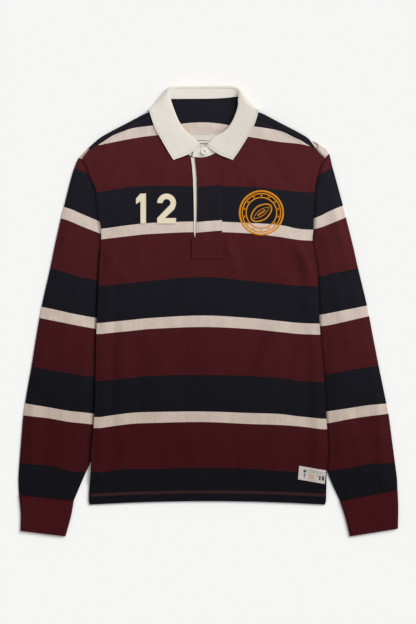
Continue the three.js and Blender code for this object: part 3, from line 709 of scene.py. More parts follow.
def settle(
    obj: bpy.types.Object,
    finish: bpy.types.Material,
    nodes: Sequence[str] = (),
    slot: str | None = None,
) -> None:
    """Finishes a piece, lets it ride on the shirt and stand for its solids, and reports it.

    Args:
        obj: the piece.
        finish: its finish.
        nodes: names of the solids that it replaces.
        slot: the record's slot that its finish comes from.
    """
    obj.data.materials.append(finish)
    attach(obj, BODY)
    if nodes:
        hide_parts(*nodes)
    triangles = sum(len(face.vertices) - 2 for face in obj.data.polygons)
    LOG.info("%s: %d triangles, slot %s, stands for %s", obj.name, triangles, slot, list(nodes))


# Finishes

# Blender's wave texture has this many radians of wave in each unit at a scale of one
WAVES_A_UNIT = 20
SHEEN_ROUGHNESS = 0.45


class Graph:
    """The nodes of one finish, added one at a time and linked as they are added."""

    def __init__(self, name: str) -> None:
        """Starts a finish with its shader.

        Args:
            name: name of the material.
        """
        self.material = bpy.data.materials.new(name)
        self.material.use_nodes = True
        self.tree = self.material.node_tree
        self.shader = self.tree.nodes["Principled BSDF"]
        where = self.add("ShaderNodeTexCoord").outputs["Object"]
        self.plan = self.vector("SCALE", where, scale=1 / MM)

    def add(self, kind: str, inputs: dict | None = None, **settings: object) -> bpy.types.Node:
        """Adds a node.

        Args:
            kind: Blender's name for it.
            inputs: numbers for its inputs, or outputs of other nodes to link to them.
            **settings: its own settings.

        Returns:
            The node.
        """
        node = self.tree.nodes.new(kind)
        for name, value in settings.items():
            setattr(node, name, value)
        for key, value in (inputs or {}).items():
            if isinstance(value, bpy.types.NodeSocket):
                self.tree.links.new(value, node.inputs[key])
            else:
                node.inputs[key].default_value = value
        return node

    def vector(self, operation: str, a: object, scale: float) -> bpy.types.NodeSocket:
        """A vector worked out from another."""
        node = self.add("ShaderNodeVectorMath", {0: a}, operation=operation)
        node.inputs["Scale"].default_value = scale
        return node.outputs[0]

    def value(self, operation: str, a: object, b: object = 0.0) -> bpy.types.NodeSocket:
        """A number worked out from one or two others."""
        return self.add("ShaderNodeMath", {0: a, 1: b}, operation=operation).outputs[0]

    def noise(
        self, size: float, detail: float = 2.0, stretch: Triple | None = None
    ) -> bpy.types.NodeSocket:
        """Uneven values from 0 to 1.

        Args:
            size: about how many millimetres wide their patches are.
            detail: how many finer layers are added.
            stretch: share of the scale along each axis, where patches are longer one way.

        Returns:
            The values.
        """
        where = self.plan
        if stretch:
            inputs = {0: where, 1: stretch}
            where = self.add("ShaderNodeVectorMath", inputs, operation="MULTIPLY").outputs[0]
        inputs = {"Vector": where, "Scale": 1 / size, "Detail": detail}
        return self.add("ShaderNodeTexNoise", inputs).outputs["Fac"]

    def ribs(self, pitch: float, direction: str, uneven: float = 0.0) -> bpy.types.NodeSocket:
        """Even ribs.

        Args:
            pitch: how many millimetres they lie apart.
            direction: X, Y or DIAGONAL, the way across them.
            uneven: how far they stray.

        Returns:
            Their height, from 0 to 1.
        """
        scale = math.tau / WAVES_A_UNIT / pitch
        inputs = {"Vector": self.plan, "Scale": scale, "Distortion": uneven}
        settings = {"bands_direction": direction}
        return self.add("ShaderNodeTexWave", inputs, **settings).outputs["Fac"]

    def spread(self, value: object, low: float, high: float) -> bpy.types.NodeSocket:
        """A value from 0 to 1 moved to run from low to high."""
        inputs = {"Value": value, "To Min": low, "To Max": high}
        return self.add("ShaderNodeMapRange", inputs).outputs["Result"]

    def read(self, name: str) -> bpy.types.NodeSocket:
        """A number that was kept for each point of the mesh."""
        return self.add("ShaderNodeAttribute", attribute_name=name).outputs["Fac"]

    def blend(self, factor: object, a: object, b: object, how: str = "MIX") -> bpy.types.NodeSocket:
        """Two colours mixed."""
        mix = self.add("ShaderNodeMix", {0: factor, 6: a, 7: b}, data_type="RGBA", blend_type=how)
        return mix.outputs[2]

    def colour(self, colour: object, shades: Sequence[object]) -> None:
        """Gives the shader its colour.

        Args:
            colour: the colour, or the output that it comes from.
            shades: values to multiply it by.
        """
        for shade in shades:
            colour = self.blend(1.0, colour, shade, "MULTIPLY")
        if isinstance(colour, bpy.types.NodeSocket):
            self.tree.links.new(colour, self.shader.inputs["Base Color"])
        else:
            self.shader.inputs["Base Color"].default_value = colour

    def relief(self, layers: Sequence[tuple[object, float]]) -> None:
        """Gives the shader a relief.

        Args:
            layers: heights from 0 to 1, each with its depth in millimetres.
        """
        normal = None
        for height, depth in layers:
            inputs = {"Height": height, "Distance": depth * MM, "Strength": 1.0}
            if normal is not None:
                inputs["Normal"] = normal
            normal = self.add("ShaderNodeBump", inputs).outputs["Normal"]
        self.tree.links.new(normal, self.shader.inputs["Normal"])

    def surface(self, roughness: float, sheen: float = 0.0, specular: float = 0.5) -> None:
        """Sets how the surface takes the light.

        Args:
            roughness: from 0 for a mirror to 1 for chalk.
            sheen: share of light caught by its nap.
            specular: how strongly it shines.
        """
        self.shader.inputs["Roughness"].default_value = roughness
        self.shader.inputs["Sheen Weight"].default_value = sheen
        self.shader.inputs["Sheen Roughness"].default_value = SHEEN_ROUGHNESS
        self.shader.inputs["Specular IOR Level"].default_value = specular


def rgba(colour: Sequence[float]) -> tuple[float, float, float, float]:
    """A colour with full cover."""
    return (colour[0], colour[1], colour[2], 1.0)


@dataclass(frozen=True)
class HoopedJersey:
    """Heavy cotton jersey, knitted in hoops and washed."""

    wale: float = 1.25
    course: float = 1.0
    uneven: float = 0.4
    relief: float = 0.16
    course_share: float = 0.6
    roughness: float = 0.9
    sheen: float = 0.02
    specular: float = 0.08
    # Painted light: the hoops' colour runs from its darker copy low on the shirt to its lighter
    # copy high up, and lean tilts this so that the right side is lighter
    faded_y: float = 290.0
    deep_y: float = -260.0
    lean: float = 0.25
    fine_size: float = 1.1
    washed_size: float = 26.0
    washed_relief: float = 1.4
    streak_size: float = 5.0
    streak_stretch: Triple = (1.0, 0.14, 1.0)
    detail: float = 3.0

    # The least and most that each layer lets through of the colour
    fine_shade: Pair = (0.78, 1.22)
    washed_shade: Pair = (0.88, 1.12)
    streak_shade: Pair = (0.88, 1.12)
    # wale_shade is painted shade in the grooves between the wales, and seam_shade is painted shade
    # beside seams and edges
    wale_shade: Pair = (0.93, 1.05)
    seam_shade: Pair = (1.0, 0.45)

    def material(self) -> bpy.types.Material:
        """The finish, which reads each point's count of hoops and its painted seam shade, and
        paints the hoops lighter up the shirt and towards the right as light.
        """
        graph = Graph("hooped_jersey")
        count = graph.value("DIVIDE", graph.value("MODULO", graph.read("hoop"), 3.0), 3.0)
        faded = self.hoops(graph, count, [hoop.faded for hoop in Hoop])
        deep = self.hoops(graph, count, [hoop.deep for hoop in Hoop])
        lean = {0: graph.plan, 1: (self.lean, 1.0, 0.0)}
        height = graph.add("ShaderNodeVectorMath", lean, operation="DOT_PRODUCT").outputs["Value"]
        inputs = {"Value": height, "From Min": self.deep_y, "From Max": self.faded_y}
        share = graph.add("ShaderNodeMapRange", inputs).outputs["Result"]
        wales = graph.ribs(self.wale, "X", self.uneven)
        courses = graph.ribs(self.course, "Y", self.uneven)
        fine = graph.noise(self.fine_size, self.detail)
        washed = graph.noise(self.washed_size, self.detail)
        streaks = graph.noise(self.streak_size, self.detail, self.streak_stretch)
        shades = [
            graph.spread(fine, *self.fine_shade),
            graph.spread(washed, *self.washed_shade),
            graph.spread(streaks, *self.streak_shade),
            graph.spread(wales, *self.wale_shade),
            graph.spread(graph.read("seam"), *self.seam_shade),
        ]
        graph.colour(graph.blend(share, deep, faded), shades)
        course_relief = self.relief * self.course_share
        layers = [(wales, self.relief), (courses, course_relief), (washed, self.washed_relief)]
        graph.relief(layers)
        graph.surface(self.roughness, self.sheen, self.specular)
        return graph.material

    @staticmethod
    def hoops(graph: Graph, count: object, colours: Sequence) -> bpy.types.NodeSocket:
        """A colour for each hoop, changing at once from one to the next.

        Args:
            graph: the finish's nodes.
            count: place in the hoops' order, from 0 to 1.
            colours: the colours in that order.

        Returns:
            The colour.
        """
        ramp = graph.add("ShaderNodeValToRGB", {"Fac": count})
        ramp.color_ramp.interpolation = "CONSTANT"
        stops = ramp.color_ramp.elements
        stops.remove(stops[-1])
        for i, colour in enumerate(colours):
            stop = stops[0] if i == 0 else stops.new(i / len(colours))
            stop.color = rgba(colour)
        return ramp.outputs["Color"]


@dataclass(frozen=True)
class RibKnit:
    """Burgundy rib of the cuffs."""

    shade: float = 1.24
    course: float = 1.1
    uneven: float = 0.6
    relief: float = 0.15
    soft_size: float = 14.0
    soft_relief: float = 0.5
    fine_size: float = 1.0
    detail: float = 3.0
    # furrow_shade is painted shade in the furrows between ribs, and seam_shade is painted shade
    # just below the seam to the sleeve
    furrow_shade: Pair = (0.8, 1.06)
    seam_shade: Pair = (1.0, 0.4)
    fine_shade: Pair = (0.82, 1.18)
    roughness: float = 0.9
    sheen: float = 0.02
    specular: float = 0.08

    def material(self) -> bpy.types.Material:
        """The finish, with painted shade in the furrows between ribs and beside the seam to the
        sleeve.
        """
        graph = Graph("burgundy_rib")
        base = rgba([c * self.shade for c in Hoop.BURGUNDY.deep])
        courses = graph.ribs(self.course, "Y", self.uneven)
        fine = graph.noise(self.fine_size, self.detail)
        furrow = graph.spread(graph.read("rib"), *self.furrow_shade)
        seam = graph.spread(graph.read("seam"), *self.seam_shade)
        graph.colour(base, [graph.spread(fine, *self.fine_shade), furrow, seam])
        graph.relief([(courses, self.relief), (graph.noise(self.soft_size), self.soft_relief)])
        graph.surface(self.roughness, self.sheen, self.specular)
        return graph.material


@dataclass(frozen=True)
class Woven:
    """A plain woven cloth: twill of the collar, tape of the labels and the placket's facing."""

    name: str
    tint: Triple
    pitch: float = 0.9
    relief: float = 0.08
    uneven: float = 0.35
    # Painted shade: the colour darkens by the share lean along one axis, from lean_from to lean_to
    lean: float = 0.0
    lean_axis: str = "X"
    lean_from: float = -60.0
    lean_to: float = 60.0
    roughness: float = 0.85
    sheen: float = 0.05
    specular: float = 0.3
    weft_share: float = 0.8
    weft_relief: float = 0.5
    soft_size: float = 18.0
    fine_size: float = 1.4
    detail: float = 3.0
    fine_shade: Pair = (0.96, 1.03)
    soft_shade: Pair = (0.965, 1.02)
    # rib_shade is painted shade in the grooves of the diagonal ribs
    rib_shade: Pair = (0.975, 1.01)

    def material(self) -> bpy.types.Material:
        """The finish, with fine diagonal ribs, soft unevenness, painted shade in the ribs' grooves,
        and painted shade that deepens along one axis.
        """
        graph = Graph(self.name)
        ribs = graph.ribs(self.pitch, "DIAGONAL")
        weft = graph.ribs(self.pitch * self.weft_share, "Y")
        soft = graph.noise(self.soft_size, self.detail)
        along = graph.add("ShaderNodeSeparateXYZ", {0: graph.plan}).outputs[self.lean_axis]
        places = {"Value": along, "From Min": self.lean_from, "From Max": self.lean_to}
        places["To Min"], places["To Max"] = 1.0, 1.0 - self.lean
        shades = [
            graph.spread(graph.noise(self.fine_size, self.detail), *self.fine_shade),
            graph.spread(soft, *self.soft_shade),
            graph.spread(ribs, *self.rib_shade),
            graph.add("ShaderNodeMapRange", places).outputs["Result"],
        ]
        graph.colour(rgba(self.tint), shades)
        weft_relief = self.relief * self.weft_relief
        graph.relief([(ribs, self.relief), (weft, weft_relief), (soft, self.uneven)])
        graph.surface(self.roughness, self.sheen, self.specular)
        return graph.material


@dataclass(frozen=True)
class Felt:
    """Cream felt of the numerals."""

    tint: Triple = (0.80, 0.71, 0.52)
    fibre_noise: Pair = (0.7, 5.0)
    fibre_shade: Pair = (0.86, 1.08)
    fibre_relief: float = 0.25
    lump_noise: Pair = (4.0, 3.0)
    lump_shade: Pair = (0.95, 1.03)
    lump_relief: float = 0.3
    roughness: float = 0.95
    sheen: float = 0.15
    specular: float = 0.2

    def material(self) -> bpy.types.Material:
        """The finish, matted and a little fuzzy."""
        graph = Graph("cream_felt")
        fibres, lumps = graph.noise(*self.fibre_noise), graph.noise(*self.lump_noise)
        shades = [graph.spread(fibres, *self.fibre_shade), graph.spread(lumps, *self.lump_shade)]
        graph.colour(rgba(self.tint), shades)
        graph.relief([(fibres, self.fibre_relief), (lumps, self.lump_relief)])
        graph.surface(self.roughness, self.sheen, self.specular)
        return graph.material


@dataclass(frozen=True)
class Thread:
    """Sewing or embroidery thread, ridged across the way that a line of it runs."""

    name: str
    tint: Triple
    pitch: float = 0.55
    roughness: float = 0.55
    shine: float = 0.4
    # ridge_shade is painted shade in the dips between the thread's ridges
    ridge_shade: Pair = (0.80, 1.06)
    ridge_relief: float = 0.12
    fine_size: float = 0.9
    fine_shade: Pair = (0.85, 1.1)

    def material(self) -> bpy.types.Material:
        """The finish, whose ridges follow each point's place along its line, with painted shade in
        their dips.
        """
        graph = Graph(self.name)
        turns = graph.value("MULTIPLY", graph.read("run"), math.tau / self.pitch)
        ridges = graph.spread(graph.value("SINE", turns), 0.0, 1.0)
        fine = graph.noise(self.fine_size)
        shades = [graph.spread(ridges, *self.ridge_shade), graph.spread(fine, *self.fine_shade)]
        graph.colour(rgba(self.tint), shades)
        graph.relief([(ridges, self.ridge_relief)])
        graph.surface(self.roughness, specular=self.shine)
        return graph.material


@dataclass(frozen=True)
class Horn:
    """Pale horn-like button, polished."""

    tint: Triple = (0.80, 0.78, 0.73)
    cloud_noise: Pair = (5.0, 4.0)
    cloud_shade: Pair = (0.88, 1.06)
    relief: float = 0.04
    roughness: float = 0.32

    def material(self) -> bpy.types.Material:
        """The finish, faintly clouded."""
        graph = Graph("pale_button")
        clouds = graph.noise(*self.cloud_noise)
        graph.colour(rgba(self.tint), [graph.spread(clouds, *self.cloud_shade)])
        graph.relief([(clouds, self.relief)])
        graph.surface(self.roughness)
        return graph.material


@dataclass(frozen=True)
class Surface:
    """The pale surface that the shirt lies on."""

    tint: Triple = (0.915, 0.912, 0.905)
    cloud_size: float = 300.0
    cloud_shade: Pair = (0.995, 1.0)
    grain_size: float = 2.0
    relief: float = 0.01
    roughness: float = 0.95
    specular: float = 0.1

    def material(self) -> bpy.types.Material:
        """The finish, matt and almost even."""
        graph = Graph("pale_surface")
        cloudy = graph.noise(self.cloud_size)
        graph.colour(rgba(self.tint), [graph.spread(cloudy, *self.cloud_shade)])
        graph.relief([(graph.noise(self.grain_size), self.relief)])
        graph.surface(self.roughness, specular=self.specular)
        return graph.material


# The body


@dataclass
class Body:
    """The front and the back, whose shoulder wraps forward as a narrow strip."""

    columns: int = 118
    rows: int = 186
    slit_x: float = -14.0
    slit_width: float = 1.2
    slit_foot_y: float = 118.0
    slit_top_y: float = 400.0
    cut_z: Pair = (-20, 20)
    row_spread: float = 0.9
    bend_at: float = 4.0
    bend_steps: int = 3
    strip_gap: float = 0.15
    strip_least: float = 3.0
    # Painted shade along the body's side edges and armholes: its strength, and how far in it fades
    seam_shade: float = 0.2
    seam_wide: float = 3.0
    cap_line: tuple[float, float, float, float] = (195.4, 290.5, 0.806, 0.592)
    front_cut: Triple = (0.428, 0.706, 0.271)
    back_cut: Triple = (0.430, 0.750, 0.292)

    # How far the strip's rows lie in from the back's edge, how far up towards the front's
    # height, and how far down towards the seam
    turns: tuple[Triple, ...] = ((0.6, 0.5, 0), (2.2, 0.95, 0), (2.2, 1, 0.5), (2.2, 1, 1))

    def row_heights(self) -> Array:
        """Heights of the rows at the side, closer together near the top."""
        share = np.linspace(0, 1, self.rows + 1) ** self.row_spread
        return FORM.hem_y + (FORM.corner_y - FORM.hem_y) * share

    def front_grid(self) -> Array:
        """Points at the middle of the front's wall."""
        u = np.linspace(0, 1, self.columns + 1)
        x, y = FORM.plan(self.row_heights(), u, lambda at: FORM.top_edge("front", at))
        return np.stack([x, y, FORM.front_middle(x, y)], 2)

    def back_grid(self) -> Array:
        """Points at the middle of the back's wall, up over the shoulder and down its strip."""
        u = np.linspace(0, 1, self.columns + 1)
        heights = self.row_heights()
        x, y = FORM.plan(heights, u, lambda at: FORM.top_edge("back", at) - self.bend_at)
        flat = np.stack([x, y, FORM.back_middle(x, y)], 2)
        x, y = flat[-1, :, 0], flat[-1, :, 1]
        wrap = FORM.top_edge("wrap", x)
        edge = FORM.top_edge("back", x)
        front_y = FORM.top_edge("front", x) + GAP + self.strip_gap
        seam_y = np.minimum(front_y, edge - self.strip_least)
        under = FORM.back_middle(x, y)
        strip = []
        for i, (out, up, seam) in enumerate(self.turns):
            over = (edge - out) * (1 - seam) + seam_y * seam
            level = y + self.bend_at * (i + 1) / len(self.turns)
            z = under + (FORM.front_middle(x, seam_y) - under) * up * wrap
            strip.append(np.stack([x, level + (over - level) * wrap, z], 1))
        turned = drawn_out(np.stack([flat[-1], *strip]), self.bend_steps)
        return np.concatenate([flat, turned[1:]])

    def shade(self, x: Array, y: Array) -> Array:
        """How much painted shade a point takes beside the armholes and side seams."""
        return self.seam_shade * (1 - ease(0, self.seam_wide, FORM.inside(x, y)))

    def on_cap(self, x: Array, y: Array) -> Array:
        """Share of the sleeve head's pale hoop, which the right shoulder's corner takes up."""
        from_x, from_y, out_x, out_y = self.cap_line
        return np.clip(((x - from_x) * out_x + (y - from_y) * out_y) / EDGE_RISE + 0.5, 0, 1)

    def dress(self, finish: bpy.types.Material) -> None:
        """Builds and finishes both panels, and lets them stand for their solids.

        Args:
            finish: the jersey.
        """
        back = made_final(cloth("back_cloth", self.back_grid(), JERSEY))
        front = cloth("front_cloth", self.front_grid(), JERSEY)
        half, low, top = self.slit_width / 2, self.slit_foot_y, self.slit_top_y
        slit = [(-half, low), (half, low), (half, top), (-half, top)]
        cut_away(front, np.array(slit) + np.array([self.slit_x, 0]), *self.cut_z)
        for obj, hoops in ((back, BACK_HOOPS), (front, FRONT_HOOPS)):
            x, y, _ = in_plan(obj.data).T
            cap = self.on_cap(x, y) if obj is back else 0
            set_values(obj, "hoop", hoops.count(x, y) - cap)
            # The seam values are painted shade, darkest at the body's edges
            set_values(obj, "seam", self.shade(x, y))
        settle(back, finish, ["back_panel"], "jersey")
        settle(front, finish, ["front_panel"], "jersey")


# Sleeves and cuffs

# Both folds of a tube laid flat, outer and inner, from the armhole or the wrist down
SLEEVE_COLUMNS = ("ox", "oy", "ix", "iy", "high", "pressed")
SLEEVE_ROWS = {
    Side.LEFT: Table(
        SLEEVE_COLUMNS,
        (
            (-205, 304, -184, 286, 4.4, 0),
            (-219, 291, -184, 263, 4.6, 0),
            (-233, 276, -180, 239, 5, 0),
            (-241.2, 258, -180, 218, 5.2, 0),
            (-248.8, 233, -180, 194, 5.4, 0),
            (-260, 188, -180, 160, 5.6, 0),
            (-266, 165, -182, 138, 5.6, 0.3),
            (-276, 120, -193.4, 115, 5.8, 0.8),
            (-285, 76, -187.5, 70, 6, 1),
            (-300, 9, -189.5, 5, 6, 1),
            (-310, -47, -192, -49, 6, 1),
            (-319, -103, -193.5, -103, 6, 1),
            (-326, -142, -194.5, -142, 6, 1),
            (-333, -187, -197, -187, 6, 1),
            (-337, -232, -203, -234, 6, 1),
            (-340, -270, -212.4, -272, 5.6, 1),
            (-342, -304, -225, -301, 5.2, 0.4),
            (-341, -330.4, -242, -341.2, 4.6, 0),
        ),
    ),
    Side.RIGHT: Table(
        SLEEVE_COLUMNS,
        (
            (181, 309, 165, 286, 4.4, 0),
            (200, 300, 171, 261, 4.6, 0),
            (216, 287, 174, 239, 5, 0),
            (224, 259, 176, 218, 5.2, 0),
            (234, 223, 176, 194, 5.4, 0),
            (243, 189, 176, 160, 5.6, 0),
            (249, 165, 178, 138, 5.6, 0.3),
            (261, 117, 187.5, 113, 5.8, 0.8),
            (270, 77, 188.6, 70, 6, 1),
            (286, 10, 191.5, 5, 6, 1),
            (297, -47, 194.5, -49, 6, 1),
            (308, -103, 199, -103, 6, 1),
            (316, -142, 202.5, -142, 6, 1),
            (325, -187, 205, -187, 6, 1),
            (331, -232, 208, -234, 6, 1),
            (336, -270, 210, -272, 5.6, 1),
            (340, -301, 220, -304, 5.2, 0.7),
            (341, -321.6, 236.8, -341.4, 4.6, 0),
        ),
    ),
}
SLEEVE_CREASES = Table(
    CREASE_COLUMNS,
    (
        (-292, -150, -294, -316, 8, -1.6),
        (-316, -120, -318, -318, 9, 1.8),
        (-262, -170, -258, -312, 9, 1.7),
        (-236, 40, -268, -110, 11, 1.9),
        (-252, 176, -262, 96, 10, 1.6),
        (-222, 120, -216, -20, 10, -1.4),
        (262, -156, 272, -226, 9, -1.6),
        (302, -120, 314, -300, 9, 1.8),
        (258, -190, 280, -318, 9, 1.6),
        (226, 60, 262, -90, 11, 1.9),
        (222, 210, 244, 110, 10, 1.6),
        (214, 90, 222, -40, 10, -1.4),
    ),
)
CUFF_COLUMNS = SLEEVE_COLUMNS[:4]
CUFF_ROWS = {
    Side.LEFT: Table(
        CUFF_COLUMNS,
        (
            (-341, -330.8, -242, -341.6),
            (-337.8, -366, -247.2, -370),
            (-338.4, -396, -257, -406),
        ),
    ),
    Side.RIGHT: Table(
        CUFF_COLUMNS,
        (
            (341.1, -322, 236.9, -341.8),
            (342.4, -355, 246.8, -372),
            (341.8, -392, 255, -406),
        ),
    ),
}


@dataclass
class FlatTube:
    """The plan of a tube laid flat, drawn out between the rows of a table."""

    table: Table
    steps: int

    def __post_init__(self) -> None:
        """Draws out the rows."""
        self.row = {n: self.table.by_row(n, self.steps)[:, None] for n in self.table.names}
        row = self.row
        self.wide = np.hypot(row["ix"] - row["ox"], row["iy"] - row["oy"])

    def plan(self, across: Array, inset: float) -> tuple[Array, Array]:
        """Plan of points on every row.

        Args:
            across: their places across, from the outer fold (0) to the inner (1).
            inset: how far inside the tube's skin they lie.

        Returns:
            The x and y of every point.
        """
        row, share = self.row, inset / self.wide
        place = share + across * (1 - 2 * share)
        x = row["ox"] + (row["ix"] - row["ox"]) * place
        return x, row["oy"] + (row["iy"] - row["oy"]) * place


@dataclass
class Sleeve:
    """A sleeve laid flat: a tube from the armhole to the wrist, folded at both its edges."""

    side: Side
    steps: int = 12
    around: int = 46
    pressed_high: float = 3.0
    fold_z: float = 1.5
    fold_round: float = 2.0
    gathers: int = 9
    gather_height: float = 0.7
    gather_long: float = 26.0
    outer_edge: Pair = (-2, 20)
    inner_edge: Pair = (-2, 20)
    pressed_wide: float = 14.0
    seam_gap: float = 0.05
    # Painted shade on the sleeve next to the body's edge, which overlaps it: its strength, and how
    # far out it fades
    seam_shade: float = 1.25
    seam_wide: float = 7.0
    inside_x: float = 60.0
    corner_clear: float = 2.0
    shoulder_step: float = 6.0
    cut_z: Pair = (-20, 40)
    cut: Triple = (0.272, 0.660, 0.125)

    def top(self, row: dict[str, Array], place: Array, wide: Array, x: Array, y: Array) -> Array:
        """Top of the sleeve between its outer and inner fold.

        Args:
            row: the sleeve's sizes at each row.
            place: place across, from the outer fold (0) to the inner (1).
            wide: width of each row.
            x: places across the shirt.
            y: places up the shirt.

        Returns:
            Its height.
        """
        outer = ease(*self.outer_edge, place * wide)
        reach = self.pressed_wide * row["pressed"]
        inner = ease(*self.inner_edge, (1 - place) * wide - reach)
        shape = row["high"] - self.pressed_high + creased(SLEEVE_CREASES, x, y)
        return self.pressed_high + shape * np.minimum(outer, inner)

    def rings(self, inset: float) -> Array:
        """Points of the sleeve's skin or lining, a ring for each row.

        Args:
            inset: how far inside the skin they lie.

        Returns:
            The rings, from the shoulder to the wrist.
        """
        tube = FlatTube(SLEEVE_ROWS[self.side], self.steps)
        row, wide = tube.row, tube.wide
        k = np.arange(2 * self.around)[None, :]
        across = (1 - np.cos(np.pi * k / self.around)) / 2
        x, y = tube.plan(across, inset)
        from_wrist = np.hypot(row["ox"] - row["ox"][-1], row["oy"] - row["oy"][-1])
        gather = self.gather_height * np.sin(2 * np.pi * self.gathers * across)
        gather = gather * np.exp(-((from_wrist / self.gather_long) ** 2)) * np.sin(np.pi * across)
        upper = self.top(row, across, wide, x, y) - inset + gather
        layer = np.where(k < self.around, upper, inset)
        near = np.clip(np.minimum(across, 1 - across) * wide / self.fold_round, 0, 1)
        z = self.fold_z + (layer - self.fold_z) * np.sqrt(1 - (1 - near) ** 2)
        return np.stack([x, y, z], 2)

    def body_outline(self) -> Array:
        """Plan of the body on this side, grown by the seam's gap, where the sleeve ends."""
        sign = self.side.value
        heights = Body().row_heights()
        heights = heights[heights > FORM.tuck_top_y]
        at_edge = np.array([0.0 if sign < 0 else 1.0])
        x, y = FORM.plan(heights, at_edge, lambda at: FORM.top_edge("front", at))
        armhole = np.concatenate([x + sign * self.seam_gap, y], 1)
        corner_x = float(FORM.edge(self.side, FORM.corner_y))
        corner = [corner_x + sign * FORM.shoulder_clear, float(FORM.top_edge("back", corner_x))]
        first = abs(corner_x - FORM.collar_x) - self.corner_clear
        across = np.arange(first, self.inside_x, -self.shoulder_step)
        x = FORM.collar_x + sign * across
        shoulder = np.stack([x, FORM.top_edge("back", x) + FORM.shoulder_clear], 1)
        start = [[sign * self.inside_x, FORM.tuck_top_y]]
        return np.concatenate([start, armhole, [corner], shoulder])

    def dress(self, finish: bpy.types.Material) -> None:
        """Args:
            finish: the jersey.
        """
        name = f"{self.side.wearer}_sleeve"
        obj = cloth_tube(f"{name}_cloth", self.rings(0), self.rings(SLEEVE_WALL))
        cut_away(obj, self.body_outline(), *self.cut_z)
        x, y, _ = in_plan(obj.data).T
        set_values(obj, "hoop", SLEEVE_HOOPS[self.side].count(x, y))
        # The seam values are painted shade, darkest where the sleeve meets the body's edge
        outside = -FORM.inside(x, y)
        set_values(obj, "seam", self.seam_shade * (1 - ease(0, self.seam_wide, outside)))
        settle(obj, finish, [name], "jersey")


@dataclass
class Cuff:
    """A rib cuff: a flat tube whose ribs run along it."""

    side: Side
    ribs: int = 27
    points_a_rib: int = 6
    steps: int = 20
    high: float = 5.4
    depth: float = 0.55
    # Share of the cuff, from its seam, that takes painted shade
    seam_share: float = 0.05
    edge_round: float = 6.0
    least_reach: float = 0.1
    cut: Triple = (0.198, 0.070, 0.0131)

    def rings(self, inset: float) -> tuple[Array, Array]:
        """Points of the cuff's skin or lining, and how high on a rib each lies.

        Args:
            inset: how far inside the skin they lie.

        Returns:
            The rings, from the wrist's seam to the cuff's end, and the heights from 0 to 1.
        """
        tube = FlatTube(CUFF_ROWS[self.side], self.steps)
        half = self.ribs * self.points_a_rib
        k = np.arange(2 * half)[None, :]
        across = np.where(k < half, k / half, 2 - k / half)
        x, y = tube.plan(across, inset)
        side = np.minimum(np.abs(np.sin(np.pi * k / half)) * self.edge_round, 1)
        wave = 0.5 + 0.5 * np.cos(2 * np.pi * across * self.ribs)
        reach = (self.high / 2 - inset) * np.sqrt(side) - self.depth * wave * side
        reach = np.maximum(reach, self.least_reach * side)
        z = self.high / 2 + np.where(k < half, reach, -reach) + 0 * x
        return np.stack([x, y, z], 2), 1 - wave + 0 * x

    def dress(self, finish: bpy.types.Material) -> None:
        """Args:
            finish: the rib knit.
        """
        name = f"{self.side.wearer}_cuff"
        skin, rib = self.rings(0)
        lining, _ = self.rings(RIB)
        obj = cloth_tube(f"{name}_cloth", skin, lining)
        # The rib and seam values give painted shade: in the furrows between ribs, and in a band
        # below the seam to the sleeve
        set_values(obj, "rib", np.concatenate([rib.ravel(), rib.ravel()]))
        from_seam = np.linspace(0, 1, len(rib))[:, None] + 0 * rib
        shade = 1 - ease(0.0, self.seam_share, from_seam)
        set_values(obj, "seam", np.concatenate([shade.ravel(), shade.ravel()]))
        made_final(obj)
        settle(obj, finish, [name], "rib")


# Thread


def measured(path: Array) -> tuple[Array, float]:
    """A line's running length at each of its points, and its whole length."""
    steps = np.linalg.norm(np.diff(path, axis=0), axis=1)
    run = np.concatenate([[0.0], np.cumsum(steps)])
    return run, float(run[-1])


def on_line(path: Array, places: Array) -> Array:
    """Points on a line at running lengths."""
    run, _ = measured(path)
    return np.stack([np.interp(places, run, path[:, i]) for i in range(3)], -1)


def unit(direction: Array) -> Array:
    """A direction with a length of one, or nothing where it has no length."""
    return direction / max(np.linalg.norm(direction), 1e-6)


# A stitch along its length: how high its middle lies and how thick it is, as shares of the
# thread's thickness
STITCH = Table(
    ("along", "rise", "girth"),
    ((0, -0.35, 0.25), (0.12, 0.1, 0.85), (0.5, 0.32, 1), (0.88, 0.1, 0.85), (1, -0.35, 0.25)),
)


@dataclass(frozen=True)
class Stitches:
    """Lines of lock stitches: short lengths of thread that dip into the cloth at their ends."""

    long: float = 2.3
    pitch: float = 3.0
    thick: float = 0.5
    sides: int = 6

    def sew(self, name: str, lines: Sequence[Array], thread: bpy.types.Material) -> None:
        """Sews stitches along lines, as one object.

        Args:
            name: its name.
            lines: points along each line, on top of the cloth.
            thread: the thread's finish.
        """
        along = STITCH.column("along")
        rise, girth = STITCH.column("rise") * self.thick, STITCH.column("girth") * self.thick / 2
        angles = np.arange(self.sides) / self.sides * math.tau
        points, faces, run = [], [], []
        ring = grid_faces(len(along), self.sides, ring=True)
        for line in lines:
            _, whole = measured(line)
            count = max(int(whole / self.pitch), 1)
            for i in range(count):
                start = (i + 0.5) * whole / count - self.long / 2
                places = np.clip(start + along * self.long, 0, whole)
                centre = on_line(line, places)
                tangent = unit(centre[-1] - centre[0])
                across = unit(np.cross([0, 0, 1.0], tangent))
                up = np.cross(tangent, across)
                base = len(points) * len(along) * self.sides
                middle = centre + up * rise[:, None]
                around = across * np.cos(angles)[:, None] + up * np.sin(angles)[:, None]
                points.append(middle[:, None] + around[None] * girth[:, None, None])
                faces.extend((ring + base).tolist())
                faces.append([base + k for k in reversed(range(self.sides))])
                end = base + (len(along) - 1) * self.sides
                faces.append([end + k for k in range(self.sides)])
                run.append(np.repeat(places, self.sides))
        flat = np.concatenate([p.reshape(-1, 3) for p in points])
        obj = new_object(name, mesh_of(name, flat, faces))
        set_values(obj, "run", np.concatenate(run))
        obj.data.shade_smooth()
        settle(obj, thread)


